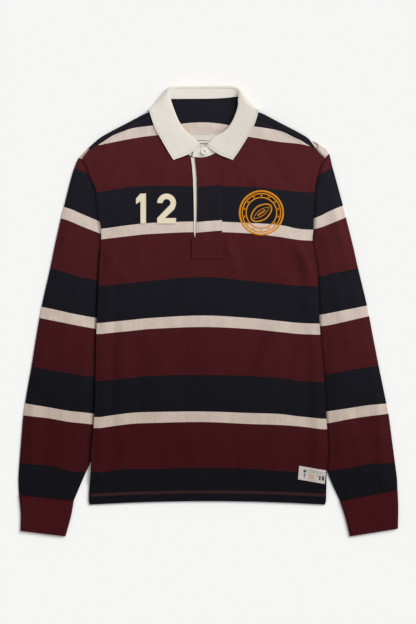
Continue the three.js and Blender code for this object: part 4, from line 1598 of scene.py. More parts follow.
def on_front(plan: Sequence[Pair], step: float = 2.0, lift: float = 0.0) -> Array:
    """A line through corners of the plan, laid on the front.

    Args:
        plan: the corners.
        step: about how far apart its points are.
        lift: how far above the front it lies.

    Returns:
        The line's points.
    """
    corners = np.column_stack([np.array(plan, float), np.zeros(len(plan))])
    _, whole = measured(corners)
    line = on_line(corners, np.linspace(0, whole, max(int(whole / step), 1) + 1))
    line[:, 2] = FORM.front_top(line[:, 0], line[:, 1]) + lift
    return line


# The collar

COLLAR_ROWS = Table(
    ("row", "neckX", "neckY", "neckZ", "foldX", "foldY", "foldZ", "edgeX", "edgeY", "turned"),
    (
        (0, 0, 275, 5, 5, 297, 9.6, 54.5, 271.6, 0),
        (1, 23, 278.8, 5, 17.6, 310.3, 9.9, 64.6, 287.8, 0),
        (2, 45, 294, 5.2, 32.9, 323.8, 10.3, 77, 309.4, 0),
        (3, 62.4, 319, 5.4, 43.7, 340, 10.8, 88, 329.6, 0),
        (4, 70.6, 343, 6, 52, 360, 11.4, 96, 352.5, 0),
        (5, 72.6, 356, 6.3, 56, 372, 11.8, 97.5, 359.5, 0),
        (6, 73.4, 361, 6.3, 57.4, 376, 12, 97.8, 360.6, 1),
        (7, 74, 365, 6.3, 58.4, 379, 12, 91.5, 354.5, 1),
        (8, 73.4, 371.6, 6, 60, 385, 12, 83, 351.4, 1),
        (9, 69, 376.6, 5.2, 60.6, 392, 12, 74.5, 353, 1),
        (10, 61, 381.4, 4.7, 59.4, 398.4, 12, 65, 355, 1),
        (11, 44, 382, 4.5, 50.4, 401.8, 12, 45, 357.6, 1),
        (12, 22, 382.2, 4.4, 25, 402.4, 12, 22, 359.2, 1),
        (13, 0, 382.2, 4.4, 0, 402.4, 12, 0, 359.8, 1),
    ),
)
COLLAR_TURNS = Table(
    ("row", "turnX", "turnY", "underX", "underY"),
    (
        (6, 97.4, 363.4, 98.4, 361.8),
        (7, 92, 367.6, 90.2, 361.6),
        (8, 82.4, 379, 79.6, 372),
        (9, 73.6, 390, 70.6, 383),
        (10, 65, 400.4, 62, 393),
        (11, 51.4, 404, 50, 397),
        (12, 25, 404, 24.6, 397),
        (13, 0, 404, 0, 397),
    ),
)

COLLAR_SHIFTS = {
    Side.LEFT: Table(
        ("row", "fold_out", "neck_up", "edge_out"),
        (
            (0, 0, 0, 0),
            (2, 0.4, 0, 0),
            (3, 1.2, 0, 0),
            (6, 1.6, 0, 0),
            (9, 1.2, 0, 0),
            (11, 0, 0, 0),
            (13, 0, 0, 0),
        ),
    ),
    Side.RIGHT: Table(
        ("row", "fold_out", "neck_up", "edge_out"),
        (
            (0, 0, 1.2, -2.4),
            (1, 0.8, 6, -1.2),
            (2, 6.2, 2.6, 0),
            (3, 8, 0, 0.8),
            (4, 8, 0, 0.8),
            (5, 6.5, 0, 0),
            (6, 4.8, 0, 0),
            (8, 3.3, 2, 0),
            (9, 2.4, 4, 0),
            (10, 1.6, 4.6, 0),
            (11, 0.8, 2.2, 0),
            (12, 0.3, 0.6, 0),
            (13, 0, 0, 0),
        ),
    ),
}


def through(controls: Array, steps: int) -> Array:
    """A smooth line through a few control points.

    Args:
        controls: the points, in order.
        steps: how many steps the whole line has.

    Returns:
        The line's points.
    """
    first, last = 2 * controls[0] - controls[1], 2 * controls[-1] - controls[-2]
    known = np.concatenate([[first], controls, [last]])
    line = []
    for i in range(steps + 1):
        place = i / steps * (len(controls) - 1)
        part = min(int(place), len(controls) - 2)
        p0, p1, p2, p3 = known[part : part + 4]
        d0, d1, d2 = (math.sqrt(np.linalg.norm(b - a)) for a, b in ((p0, p1), (p1, p2), (p2, p3)))
        m1 = ((p1 - p0) / d0 - (p2 - p0) / (d0 + d1) + (p2 - p1) / d1) * d1
        m2 = ((p2 - p1) / d1 - (p3 - p1) / (d1 + d2) + (p3 - p2) / d2) * d1
        t = place - part
        cube = 2 * p1 - 2 * p2 + m1 + m2
        square = -3 * p1 + 3 * p2 - 2 * m1 - m2
        line.append(p1 + m1 * t + square * t**2 + cube * t**3)
    return np.array(line)


@dataclass
class Collar:
    """The collar: a stand up from the neck seam to the fold, and the fall outside it."""

    turn_z: float = 4.8
    crown_place: float = 0.45
    crown_drop: float = 0.7
    stand_below_fold: float = 0.9
    fall_steps: int = 30
    finer: int = 5
    lift: float = 0.35
    leaf_bow: float = 3.6
    free_share: float = 0.06
    roll_in: float = 3.0
    roll_drop: float = 1.1
    roll_dip: float = 0.69
    roll_steps: int = 4
    open_from: float = 6.0
    open_full: float = 10.0
    stand_short: float = 2.4
    stand_below_roll: float = 0.5
    evened: int = 10
    stand_steps: int = 12
    stitches: Stitches = Stitches(long=2.2, pitch=2.9, thick=0.5)
    sewn_rows: tuple[int, int] = (1, 27)
    stand_middle: tuple[float, ...] = (0, 276.8, 5, 0, 294.5, 9.2)
    stand_end: tuple[float, ...] = (-20.5, 277.4, 5, -15.6, 306.5, 9.8)
    fall_cut: Triple = (0.400, 0.078, 0.0215)
    stand_cut: Triple = (0.370, 0.034, 0.0096)

    @staticmethod
    def point(sign: int, across: float, y: float, z: float) -> Array:
        """A point of the collar from its distance across, up and above the surface."""
        return np.array([FORM.collar_x + sign * across, y, z], float)

    def stations(self, first: int = 0) -> list[tuple[dict[str, float], int]]:
        """The collar's rows from the left front round the back to the right front."""
        rows = [dict(zip(COLLAR_ROWS.names, row)) for row in COLLAR_ROWS.rows[first:]]
        return [(row, -1) for row in rows] + [(row, 1) for row in reversed(rows[:-1])]

    @staticmethod
    def shift(name: str, row: dict[str, float], sign: int) -> float:
        """How far one side's row lies from its place in the common table."""
        return float(COLLAR_SHIFTS[Side(sign)].at(name, row["row"]))

    def fold_across(self, row: dict[str, float], sign: int) -> float:
        """How far across a row's fold lies."""
        return row["foldX"] + self.shift("fold_out", row, sign)

    def opened(self, row: dict[str, float]) -> float:
        """How far the stand lies open below its fold, from 0 at the leaves to 1 at the back."""
        return float(ease(self.open_from, self.open_full, row["row"]))

    def stand_grid(self) -> Array:
        """Points at the middle of the stand's wall."""
        grid = []
        closed_drop, open_drop = self.stand_below_fold, self.stand_below_roll
        for row, sign in self.stations(first=1):
            neck_y = row["neckY"] + self.shift("neck_up", row, sign)
            neck = self.point(sign, row["neckX"], neck_y, row["neckZ"])
            fold = self.point(sign, self.fold_across(row, sign), row["foldY"], row["neckZ"])
            opened = self.opened(row)
            top = fold + (neck - fold) / np.linalg.norm(neck - fold) * self.stand_short * opened
            top[2] = row["foldZ"] - (closed_drop + (open_drop - closed_drop) * opened)
            grid.append([neck, top])
        for neck_x, neck_y, neck_z, fold_x, fold_y, fold_z in (self.stand_middle, self.stand_end):
            top = self.point(1, fold_x, fold_y, fold_z - self.stand_below_fold)
            grid.append([self.point(1, neck_x, neck_y, neck_z), top])
        ends = np.array(grid)
        share = np.linspace(0, 1, self.stand_steps + 1)[None, :, None]
        lines = ends[:, :1] + (ends[:, 1:] - ends[:, :1]) * share
        return drawn_out(lines, self.finer)

    def crown(self, row: dict[str, float], fold: Array, out: Array) -> Array:
        """The point between a row's fold and its outer edge that the fall arches over.

        Args:
            row: the row of the collar's table.
            fold: the row's point on the fold line, in mm.
            out: the row's point on the outer edge, in mm.

        Returns:
            The point, in mm.
        """
        crown = fold + (out - fold) * self.crown_place
        crown[2] = row["foldZ"] - self.crown_drop
        if row["row"] == 0:
            crown[1] -= self.leaf_bow
        return crown

    def turned_line(self, row: dict[str, float], sign: int, fold: Array) -> Array:
        """The fall's line where it turns under behind the neck.

        Args:
            row: the row's sizes.
            sign: -1 on the left, 1 on the right.
            fold: its point on the fold.

        Returns:
            The line's points, from the fold to the free edge.
        """
        first = int(COLLAR_TURNS.rows[0][0])
        turn = dict(zip(COLLAR_TURNS.names, COLLAR_TURNS.rows[int(row["row"]) - first]))
        out = self.point(sign, turn["turnX"], turn["turnY"], self.turn_z)
        under = self.point(sign, turn["underX"], turn["underY"], TWILL / 2)
        edge = self.point(sign, row["edgeX"], row["edgeY"], TWILL / 2)
        controls = [fold, self.crown(row, fold, out), out, under, edge]
        return through(np.array(controls), self.fall_steps)

    def leaf_line(self, row: dict[str, float], sign: int, fold: Array) -> Array:
        """The fall's line over a leaf, with its points closer together at the free edge.

        Args:
            row: the row's sizes.
            sign: -1 on the left, 1 on the right.
            fold: its point on the fold.

        Returns:
            The line's points, from the fold to the free edge.
        """
        edge_x = row["edgeX"] + self.shift("edge_out", row, sign)
        out = self.point(sign, edge_x, row["edgeY"], 0)
        crown = self.crown(row, fold, out)
        out[2] = FORM.front_top(out[0], out[1]) + GAP + TWILL / 2
        line = through(np.array([fold, crown, out]), self.fall_steps)
        half = self.fall_steps // 2
        wide = np.linspace(0, 1 - self.free_share, half + 1)[:-1]
        share = np.concatenate([wide, np.linspace(1 - self.free_share, 1, half + 1)])
        places = np.arange(len(line)) / self.fall_steps
        return np.stack([np.interp(share, places, line[:, i]) for i in range(3)], 1)

    def section(self, row: dict[str, float], sign: int) -> Array:
        """The fall's line at one row.

        Args:
            row: the row's sizes.
            sign: -1 on the left, 1 on the right.

        Returns:
            The line's points, from inside the fold to the free edge.
        """
        fold = self.point(sign, self.fold_across(row, sign), row["foldY"], row["foldZ"])
        line = (self.turned_line if row["turned"] else self.leaf_line)(row, sign, fold)
        neck = self.point(sign, row["neckX"], row["neckY"], row["foldZ"])
        inward = (neck - fold) / np.linalg.norm(neck - fold)
        angles = np.linspace(0, math.pi / 2, self.roll_steps + 1)[:-1, None]
        sine, cosine = np.sin(angles[:, 0]), np.cos(angles[:, 0])
        roll = fold + inward * self.roll_in * np.cos(angles)
        opened = self.opened(row)
        closed_drop = self.roll_drop * (1 - sine)
        roll[:, 2] -= (1 - opened) * closed_drop + opened * self.roll_dip * cosine**2
        return np.concatenate([roll, line])

    def fall_grid(self) -> Array:
        """Points at the middle of the fall's wall, kept clear of the front below it."""
        stations = self.stations()
        grid = drawn_out(np.array([self.section(row, sign) for row, sign in stations]), self.finer)
        turned = [row["turned"] for row, _ in stations]
        places = np.linspace(0, len(turned) - 1, len(grid))
        lies = np.interp(places, np.arange(len(turned)), turned)[:, None] > 0.5
        for _ in range(self.evened):
            z = grid[..., 2].copy()
            grid[1:-1, :, 2] = (z[:-2] + 2 * z[1:-1] + z[2:]) / 4
        over = FORM.front_top(grid[..., 0], grid[..., 1]) + GAP + self.lift + TWILL / 2
        grid[..., 2] = np.maximum(grid[..., 2], np.where(lies, TWILL / 2, over))
        return grid

    def edge_lines(self, grid: Array) -> list[Array]:
        """Lines on top of the fall, a little inside the free edges of each leaf.

        Args:
            grid: points at the middle of the fall's wall.

        Returns:
            One line a leaf, from the fold at its front round its tip to the shoulder.
        """
        top = grid + np.array([0, 0, TWILL / 2])
        first, last = self.sewn_rows
        column = self.roll_steps + self.fall_steps // 2
        fronts = [leaf[first, self.roll_steps : column] for leaf in (top, top[::-1])]
        outsides = [leaf[first:last, column] for leaf in (top, top[::-1])]
        return [np.concatenate(pair) for pair in zip(fronts, outsides)]

    def dress(
        self, finish: bpy.types.Material, inside: bpy.types.Material, thread: bpy.types.Material
    ) -> None:
        """Args:
            finish: the fall's finish.
            inside: a paler copy of the fall's twill for the stand, painted lighter as light.
            thread: the finish of the stitches, a darker copy of the cream thread with painted
                shade.
        """
        stand = made_final(cloth("collar_stand_cloth", self.stand_grid(), TWILL))
        grid = self.fall_grid()
        fall = made_final(cloth("collar_fall_cloth", grid, TWILL))
        settle(stand, inside, ["collar_stand"], "twill")
        settle(fall, finish, ["collar_fall"], "twill")
        self.stitches.sew("collar_stitches", self.edge_lines(grid), thread)


# The placket


@dataclass
class Placket:
    """The placket: the edge that laps over, down to its stitched box, and the pale facing."""

    edges: Table = Table(
        ("y", "left", "right"),
        (
            (94, -29.3, 26),
            (106, -29.3, 26),
            (118, -29.2, 26),
            (130, -29, 25.8),
            (131.4, -23.2, 25),
            (145, -21.4, 24.8),
            (172, -20.6, 24.8),
            (200, -20.3, 24.8),
            (236, -20.6, 24.8),
            (256, -22.2, 24.8),
            (272, -24.2, 24.8),
        ),
    )
    facing: Table = Table(
        ("y", "left", "right"),
        (
            (132.4, -24.6, -16),
            (144, -25.8, -14),
            (172, -25.6, -12),
            (210, -26.4, -12),
            (237, -27.4, -12),
            (258, -29.2, -12),
            (272, -31.4, -12),
        ),
    )
    hoop_drop: float = 1.2
    hoop_tilt: float = 0.09
    even_below: float = 200.0
    step: float = 2.2
    hoop_middle_x: float = -20.0
    top_gap: float = 0.6
    clear: float = 0.1
    facing_lift: float = 0.05
    facing_x: Pair = (-10, 6)
    facing_y: Pair = (120, 134)
    thinner: float = 0.2
    flap_columns: int = 24
    facing_columns: int = 8
    placket_cut: Triple = (0.0553, 0.182, 0.0089)
    facing_cut: Triple = (0.019, 0.142, 0.0023)

    def over(self, x: Array, y: Array) -> Array:
        """How far the placket's underside stands off the front, and off the facing on it."""
        beside = 1 - ease(*self.facing_x, x)
        low, high = GAP + self.clear, GAP + TAPE + GAP + self.clear
        return low + (high - low) * beside * ease(*self.facing_y, y)

    def under(self, x: Array, y: Array) -> Array:
        """How far the facing's underside stands off the front."""
        return 0 * x + GAP + self.facing_lift

    def top(self, x: Array, y: Array) -> Array:
        """Top of the placket."""
        return FORM.front_top(x, y) + self.over(x, y) + JERSEY

    def strip(self, edges: Table, columns: int, thickness: float, lift: Height) -> Array:
        """Points at the middle of a strip that lies on the front.

        Args:
            edges: its left and right edge by height.
            columns: how many columns of faces it has.
            thickness: its wall.
            lift: how far its underside stands off the front at x and y.

        Returns:
            Its rows of points.
        """
        keys = edges.column("y")
        heights = np.unique(np.concatenate([keys, np.arange(keys[0], keys[-1], self.step)]))
        left = np.interp(heights, keys, edges.column("left"))[:, None]
        right = np.interp(heights, keys, edges.column("right"))[:, None]
        x = left + (right - left) * np.linspace(0, 1, columns + 1)[None, :]
        share = np.clip((heights - self.even_below) / (keys[-1] - self.even_below), 0, 1)
        raised = FORM.top_edge("front", x) - self.top_gap - keys[-1]
        y = heights[:, None] + raised * share[:, None]
        z = FORM.front_top(x, y) + lift(x, y) + thickness / 2
        return np.stack([x, y, z], 2)

    def dress(self, jersey: bpy.types.Material, tape: bpy.types.Material) -> None:
        """Args:
            jersey: finish of the placket.
            tape: finish of the facing.
        """
        flap = self.strip(self.edges, self.flap_columns, JERSEY, self.over)
        over = made_final(cloth("placket_cloth", flap, JERSEY - self.thinner))
        x, y, _ = in_plan(over.data).T
        tilt = self.hoop_drop - self.hoop_tilt * (x - self.hoop_middle_x)
        set_values(over, "hoop", FRONT_HOOPS.count(x, y + tilt))
        set_values(over, "seam", 0 * x)
        facing = self.strip(self.facing, self.facing_columns, TAPE, self.under)
        under = made_final(cloth("placket_facing_cloth", facing, TAPE))
        settle(over, jersey, ["left_placket"], "jersey")
        settle(under, tape, ["placket_facing"], "twill")


PLACKET = Placket()


# Seams


@dataclass
class Seams:
    """Every line of stitches on the shirt, by the thread that it is sewn with."""

    hem_up: Pair = (14.3, 19.2)
    hem_points: int = 260
    hem_ends: float = 0.004
    shoulder_down: float = 5.0
    shoulder_across: Pair = (84, 204)
    shoulder_points: int = 70
    box: tuple[float, float, float, float] = (-26.6, 23.4, 96.8, 127.6)
    lap_x: float = -17.6
    lap_up: float = 6.0
    edge_in: Pair = (0.4, 0.8)
    edge_up: float = 4.0
    placket_top_y: float = 268.0
    sunk: float = 0.1
    lock: Stitches = Stitches()
    cover: Stitches = Stitches(long=4.6, pitch=4.0, thick=0.62)

    def hem(self) -> list[Array]:
        """Twin lines above the hem."""
        lines = []
        for up in self.hem_up:
            u = np.linspace(self.hem_ends, 1 - self.hem_ends, self.hem_points)
            row_y = FORM.hem_y + up
            left, right = FORM.edge(Side.LEFT, row_y), FORM.edge(Side.RIGHT, row_y)
            x = left + (right - left) * u
            y = row_y + FORM.bowed(row_y, u)
            lines.append(np.stack([x, y, FORM.front_top(x, y)], 1))
        return lines

    def hem_cover(self) -> list[Array]:
        """The covering thread, back and forth between the hem's twin lines."""
        low, high = self.hem()
        ends = [low[i] if i % 2 else high[i] for i in range(len(low))]
        return [np.stack(pair) for pair in zip(ends, ends[1:])]

    def shoulders(self) -> list[Array]:
        """A line below each shoulder seam."""
        lines = []
        for side in Side:
            across = np.linspace(*self.shoulder_across, self.shoulder_points)
            x = FORM.collar_x + side.value * across
            y = FORM.top_edge("front", x) - self.shoulder_down
            lines.append(np.stack([x, y, FORM.front_top(x, y)], 1))
        return lines

    def placket(self) -> list[Array]:
        """The placket's edges and the box at its foot."""
        left, right, low, high = self.box
        foot_in, top_in = self.edge_in
        plans = [
            [(left, low), (right, low), (right, high), (left, high), (left, low)],
            [(right - foot_in, high + self.edge_up), (right - top_in, self.placket_top_y)],
            [(self.lap_x, high + self.lap_up), (self.lap_x, self.placket_top_y)],
        ]
        lines = [on_front(plan) for plan in plans]
        for line in lines:
            line[:, 2] = PLACKET.top(line[:, 0], line[:, 1]) - self.sunk
        return lines

    def dress(self, thread: bpy.types.Material) -> None:
        """Sews all lines.

        Args:
            thread: finish of the thread.
        """
        self.lock.sew("hem_stitches", self.hem(), thread)
        self.cover.sew("hem_cover_thread", self.hem_cover(), thread)
        self.lock.sew("shoulder_stitches", self.shoulders(), thread)
        self.lock.sew("placket_stitches", self.placket(), thread)


# Felt numerals and the embroidered badge


@dataclass
class Numerals:
    """Two felt numerals on the chest."""

    high: float = 54.0
    bar: float = 10.0
    middle_y: float = 184.0
    one_x: float = -130.0
    two_x: float = -92.0
    two_wide: float = 34.0
    flag: float = 8.0
    foot_in: float = 4.0
    neck_in: float = 3.0
    neck_down: float = 11.0
    bowl_from: float = -0.5
    bowl_points: int = 30
    rounding: float = 0.22
    clear: float = 0.3
    line_in: float = 1.4
    line_step: float = 1.0
    line_sunk: float = 0.05
    least_turn: float = 0.6
    stitches: Stitches = Stitches(long=1.6, pitch=2.2, thick=0.4)

    # How far below the top the flag's outer end starts and ends, and where it meets the stem
    flag_down: Triple = (9.0, 19.0, 14.0)

    def one(self) -> list[Pair]:
        """Outline of the numeral 1, from its lower left corner."""
        top, left, right = self.high, self.flag, self.flag + self.bar
        start, end, meets = self.flag_down
        stem = [(left, 0), (right, 0), (right, top), (left, top)]
        return [*stem, (0, top - start), (0, top - end), (left, top - meets)]

    def arc(self, radius: float, angles: Array) -> list[Pair]:
        """Points of an arc of the bowl of the numeral 2."""
        x, y = self.two_wide / 2, self.high - self.two_wide / 2
        return [(x + radius * math.cos(a), y + radius * math.sin(a)) for a in angles]

    def two(self) -> list[Pair]:
        """Outline of the numeral 2, from its lower left corner."""
        wide, bowl = self.two_wide, self.two_wide / 2
        sweep = np.linspace(self.bowl_from, math.pi, self.bowl_points)
        outer, inner = self.arc(bowl, sweep), self.arc(bowl - self.bar, sweep[::-1])
        low = [(0, 0), (wide, 0), (wide, self.bar), (self.bar + self.foot_in, self.bar)]
        neck = (wide - self.neck_in, self.high - bowl - self.neck_down)
        return [*low, neck, *outer, *inner, (0, self.bar)]

    def dress(self, felt: bpy.types.Material, thread: bpy.types.Material) -> None:
        """Cuts and finishes both numerals, lets them stand for their solids, and sews them on.

        Args:
            felt: finish of the numerals.
            thread: finish of their stitches.
        """
        lines = []
        for name, outline, x in (("one", self.one(), self.one_x), ("two", self.two(), self.two_x)):
            placed = [(px + x, py + self.middle_y - self.high / 2) for px, py in outline]
            obj = self.cut(f"numeral_{name}_felt", placed)
            settle(obj, felt, [f"numeral_{name}"], "felt")
            lines.append(self.inner_line(placed))
        self.stitches.sew("numeral_stitches", lines, thread)

    def cut(self, name: str, outline: Sequence[Pair]) -> bpy.types.Object:
        """A felt shape with soft edges, laid on the front.

        Args:
            name: its name.
            outline: its outline in the shirt's plan.

        Returns:
            The shape.
        """
        curve = bpy.data.curves.new(name, "CURVE")
        curve.dimensions, curve.fill_mode = "2D", "BOTH"
        curve.extrude = (FELT / 2 - self.rounding) * MM
        curve.bevel_depth, curve.bevel_resolution = self.rounding * MM, 2
        curve.offset = -self.rounding * MM
        line = curve.splines.new("POLY")
        line.use_cyclic_u = True
        line.points.add(len(outline) - 1)
        for point, (x, y) in zip(line.points, outline):
            point.co = ((x + SHIFT[0]) * MM, (y + SHIFT[1]) * MM, 0, 1)
        shape = new_object(name, curve)
        graph = bpy.context.evaluated_depsgraph_get()
        mesh = bpy.data.meshes.new_from_object(shape.evaluated_get(graph), depsgraph=graph)
        bpy.data.objects.remove(shape)
        points = in_plan(mesh)
        top = FORM.front_top(points[:, 0], points[:, 1])
        points[:, 2] += top + GAP + self.clear + FELT / 2
        mesh.vertices.foreach_set("co", in_row_frame(points).ravel())
        return made_final(new_object(name, mesh))

    def inner_line(self, outline: Sequence[Pair]) -> Array:
        """A closed line a little inside an outline.

        Args:
            outline: the outline.

        Returns:
            The line's points, on top of the felt.
        """
        corners = np.array(outline, float)
        before, after = np.roll(corners, 1, 0), np.roll(corners, -1, 0)
        a = corners - before
        b = after - corners
        a, b = a / np.linalg.norm(a, axis=1)[:, None], b / np.linalg.norm(b, axis=1)[:, None]
        inward = np.stack([-(a + b)[:, 1], (a + b)[:, 0]], 1)
        turn = np.clip(1 + (a * b).sum(1), self.least_turn, 2)[:, None]
        inner = corners + inward / turn * self.line_in
        closed = [tuple(p) for p in inner] + [tuple(inner[0])]
        return on_front(closed, self.line_step, GAP + self.clear + FELT - self.line_sunk)


@dataclass
class Badge:
    """A round embroidered badge in gold: a ring, an oval ball in it, and small diamonds."""

    x: float = 95.5
    y: float = 176.5
    outer: float = 39.0
    inner: float = 29.5
    ring_wide: float = 3.4
    line_wide: float = 2.3
    ball_long: float = 21.0
    ball_wide: float = 13.0
    ball_turn: float = 0.62
    diamonds: int = 14
    diamond_long: float = 5.0
    diamond_wide: float = 3.0
    diamonds_out: float = 0.1
    ring_in: float = 4.6
    inner_in: float = 2.0
    ball_line: float = 2.6
    ball_point: float = 1.25
    ball_points: int = 96
    panel_bow: float = 5.4
    panel_short: float = 3.2
    fine_line: float = 1.3
    panel_end: float = 0.9
    lace_half: float = 8.5
    lace_line: float = 1.4
    ties: int = 5
    tie_pitch: float = 3.5
    tie_half: float = 2.3
    point_line: float = 0.5
    line_points: int = 24
    least_rows: int = 8
    high: float = 0.9
    arch_share: float = 0.8
    arch_points: int = 9
    sunk: float = 0.15
    step: float = 0.4

    def place(self, u: Array, v: Array) -> Array:
        """Points of the badge's own plan in the shirt's."""
        return np.stack([self.x + u, self.y + v], -1)

    def circle(self, radius: float, points: int = 120) -> Array:
        """A closed circle about the badge's middle."""
        a = np.linspace(0, math.tau, points + 1)
        return self.place(radius * np.cos(a), radius * np.sin(a))

    def turned(self, u: Array, v: Array) -> Array:
        """Points of the ball's plan, turned with it."""
        c, s = math.cos(self.ball_turn), math.sin(self.ball_turn)
        return self.place(u * c - v * s, u * s + v * c)

    def ball_edge(self) -> Array:
        """Outline of the oval ball, more pointed than an ellipse."""
        a = np.linspace(0, math.tau, self.ball_points + 1)
        point = np.abs(np.cos(a)) ** self.ball_point * np.sign(np.cos(a))
        return self.turned(self.ball_long * point, self.ball_wide * np.sin(a))

    def lines(self) -> list[tuple[Array, float, float]]:
        """Every line of satin stitch: its points, its width, and its width at both ends."""
        wide, thin, fine = self.ring_wide, self.line_wide, self.fine_line
        outer, inner = self.outer - self.ring_in, self.inner - self.inner_in
        made = [
            (self.circle(self.outer), wide, wide),
            (self.circle(outer), thin, thin),
            (self.circle(inner), thin, thin),
            (self.ball_edge(), self.ball_line, self.ball_line),
        ]
        u = np.linspace(-1, 1, self.line_points + 1)
        for bow in (-self.panel_bow, self.panel_bow):
            seam = self.turned(u * (self.ball_long - self.panel_short), bow * (1 - u**2))
            made.append((seam, fine, self.panel_end))
        made.append((self.turned(u * self.lace_half, 0 * u), self.lace_line, self.lace_line))
        for k in range(self.ties):
            along = self.tie_pitch * (k - (self.ties - 1) / 2)
            made.append((self.turned(0 * u + along, u * self.tie_half), fine, fine))
        ring = (outer + inner) / 2 + self.diamonds_out
        for k in range(self.diamonds):
            a = (k + 0.5) / self.diamonds * math.tau + u * self.diamond_long / 2 / ring
            gem = self.place(ring * np.cos(a), ring * np.sin(a))
            made.append((gem, self.diamond_wide, self.point_line))
        return made

    def satin(self, plan: Array, wide: float, end: float) -> tuple[Array, Array]:
        """An arched line of satin stitch.

        Args:
            plan: points along it.
            wide: its width.
            end: its width at both ends.

        Returns:
            Its rows of points across it, and how far along it each row lies.
        """
        flat = np.column_stack([plan, np.zeros(len(plan))])
        length, whole = measured(flat)
        closed = np.linalg.norm(plan[0] - plan[-1]) < 1e-6
        if not closed:
            fine = np.linspace(0, whole, max(int(whole / self.step), self.least_rows))
            flat, length = on_line(flat, fine), fine
        tangent = np.gradient(flat[:, :2], axis=0)
        if closed:
            tangent[0] = tangent[-1] = flat[1, :2] - flat[-2, :2]
        tangent = tangent / np.linalg.norm(tangent, axis=1)[:, None]
        normal = np.stack([-tangent[:, 1], tangent[:, 0]], 1)
        taper = end + (wide - end) * (1 - np.abs(2 * length / whole - 1))
        half = (taper if end < wide else np.full_like(taper, wide)) / 2
        arch = np.linspace(0, math.pi, self.arch_points)
        out = np.cos(arch)[None, :, None] * half[:, None, None]
        across = flat[:, None, :2] - normal[:, None] * out
        tall = np.minimum(self.high, half * self.arch_share)[:, None] * np.sin(arch)[None, :]
        z = FORM.front_top(across[..., 0], across[..., 1]) + tall - self.sunk
        return np.concatenate([across, z[..., None]], 2), length

    def dress(self, gold: bpy.types.Material) -> None:
        """Embroiders the badge on the front.

        Args:
            gold: finish of the thread.
        """
        points, faces, run, base = [], [], [], 0
        for line in self.lines():
            grid, length = self.satin(*line)
            rows, cols = grid.shape[:2]
            points.append(grid.reshape(-1, 3))
            faces.extend((grid_faces(rows, cols) + base).tolist())
            for i in range(rows - 1):
                left, above = base + i * cols, base + (i + 1) * cols
                faces.append([above, above + cols - 1, left + cols - 1, left])
            faces.append([base + k for k in reversed(range(cols))])
            faces.append([base + (rows - 1) * cols + k for k in range(cols)])
            run.append(np.repeat(length, cols))
            base += rows * cols
        obj = new_object("chest_badge", mesh_of("chest_badge", np.concatenate(points), faces))
        set_values(obj, "run", np.concatenate(run))
        obj.data.shade_smooth()
        settle(obj, gold)


# Labels and the button

# A mark's left, lower, width and height from its label's middle, and its ink
Mark = tuple[float, float, float, float, str]
NECK_MARKS: tuple[Mark, ...] = (
    (-30, 8, 12, 1.2, "grey"),
    (-14, 8, 20, 1.2, "grey"),
    (10, 8, 18, 1.2, "grey"),
    (-14, 2, 28, 1.6, "navy"),
    (-22, -4, 44, 0.9, "grey"),
)
HEM_MARKS: tuple[Mark, ...] = (
    (-16, 2, 5.4, 5, "navy"),
    (-15, -4, 3.4, 4, "navy"),
    (-14, -8, 1.6, 3, "navy"),
    (-6, -10, 0.6, 20, "grey"),
    (-3, 7, 25, 0.7, "grey"),
    (-3, 4, 23, 0.7, "grey"),
    (-4, -7, 8, 7.4, "coral"),
    (9, -1, 3, 1.6, "ink"),
    (13, -7, 3, 8, "ink"),
    (18, -7, 4.4, 8, "ink"),
)


@dataclass
class Label:
    """A woven label, with plain marks and no words."""

    name: str
    marks: tuple[Mark, ...]
    x: float
    y: float
    wide: float
    long: float
    turn: float = 0.0
    skew: float = 0.0
    lies_on: str = "front_cloth"
    clear: float = 0.1
    mark_lift: float = 0.06
    mark_thick: float = 0.12
    step: float = 2.0

    def place(self, u: Array, v: Array) -> tuple[Array, Array]:
        """Points of the label's plan, from its middle, in the shirt's."""
        c, s = math.cos(self.turn), math.sin(self.turn)
        return self.x + u * c - v * (s + self.skew), self.y + u * s + v * c

    def patch(self, box: Sequence[float], under: Height, lift: float) -> Array:
        """Points of a rectangle of the label.

        Args:
            box: its left, lower, width and height, from the label's middle.
            under: height of the cloth below at x and y.
            lift: how far above that it lies.

        Returns:
            Its rows of points.
        """
        left, low, wide, long = box
        columns, rows = max(int(wide / self.step), 1), max(int(long / self.step), 1)
        u = (left + np.linspace(0, wide, columns + 1))[None, :] + np.zeros((rows + 1, 1))
        v = (low + np.linspace(0, long, rows + 1))[:, None] + np.zeros((1, columns + 1))
        x, y = self.place(u, v)
        return np.stack([x, y, under(x, y) + lift], 2)

    def print_marks(self, ink: str, material: bpy.types.Material, under: Height) -> None:
        """Prints the marks of one ink, as one object, where the label has any.

        Args:
            ink: the ink's name.
            material: its finish.
            under: height of the cloth below the label at x and y.
        """
        lift = GAP + self.clear + TAPE + self.mark_lift
        tops = [self.patch(mark[:4], under, lift) for mark in self.marks if mark[4] == ink]
        if not tops:
            return
        points, faces, base = [], [], 0
        for top in tops:
            rows, cols = top.shape[:2]
            points.append(top.reshape(-1, 3))
            faces.extend((grid_faces(rows, cols) + base).tolist())
            base += rows * cols
        name = f"{self.name}_{ink}_marks"
        obj = new_object(name, mesh_of(name, np.concatenate(points), faces))
        body = obj.modifiers.new("wall", "SOLIDIFY")
        body.thickness, body.offset = self.mark_thick * MM, -1
        settle(made_final(obj), material)

    def dress(
        self, under: Height, finish: bpy.types.Material, inks: dict[str, bpy.types.Material]
    ) -> None:
        """Args:
            under: height of the cloth below the label at x and y.
            finish: the label's own finish.
            inks: the finish of each colour of mark.
        """
        box = (-self.wide / 2, -self.long / 2, self.wide, self.long)
        grid = self.patch(box, under, GAP + self.clear + TAPE / 2)
        obj = made_final(cloth(f"{self.name}_cloth", grid, TAPE))
        settle(obj, finish, [self.name], "tape")
        for ink, material in inks.items():
            self.print_marks(ink, material, under)


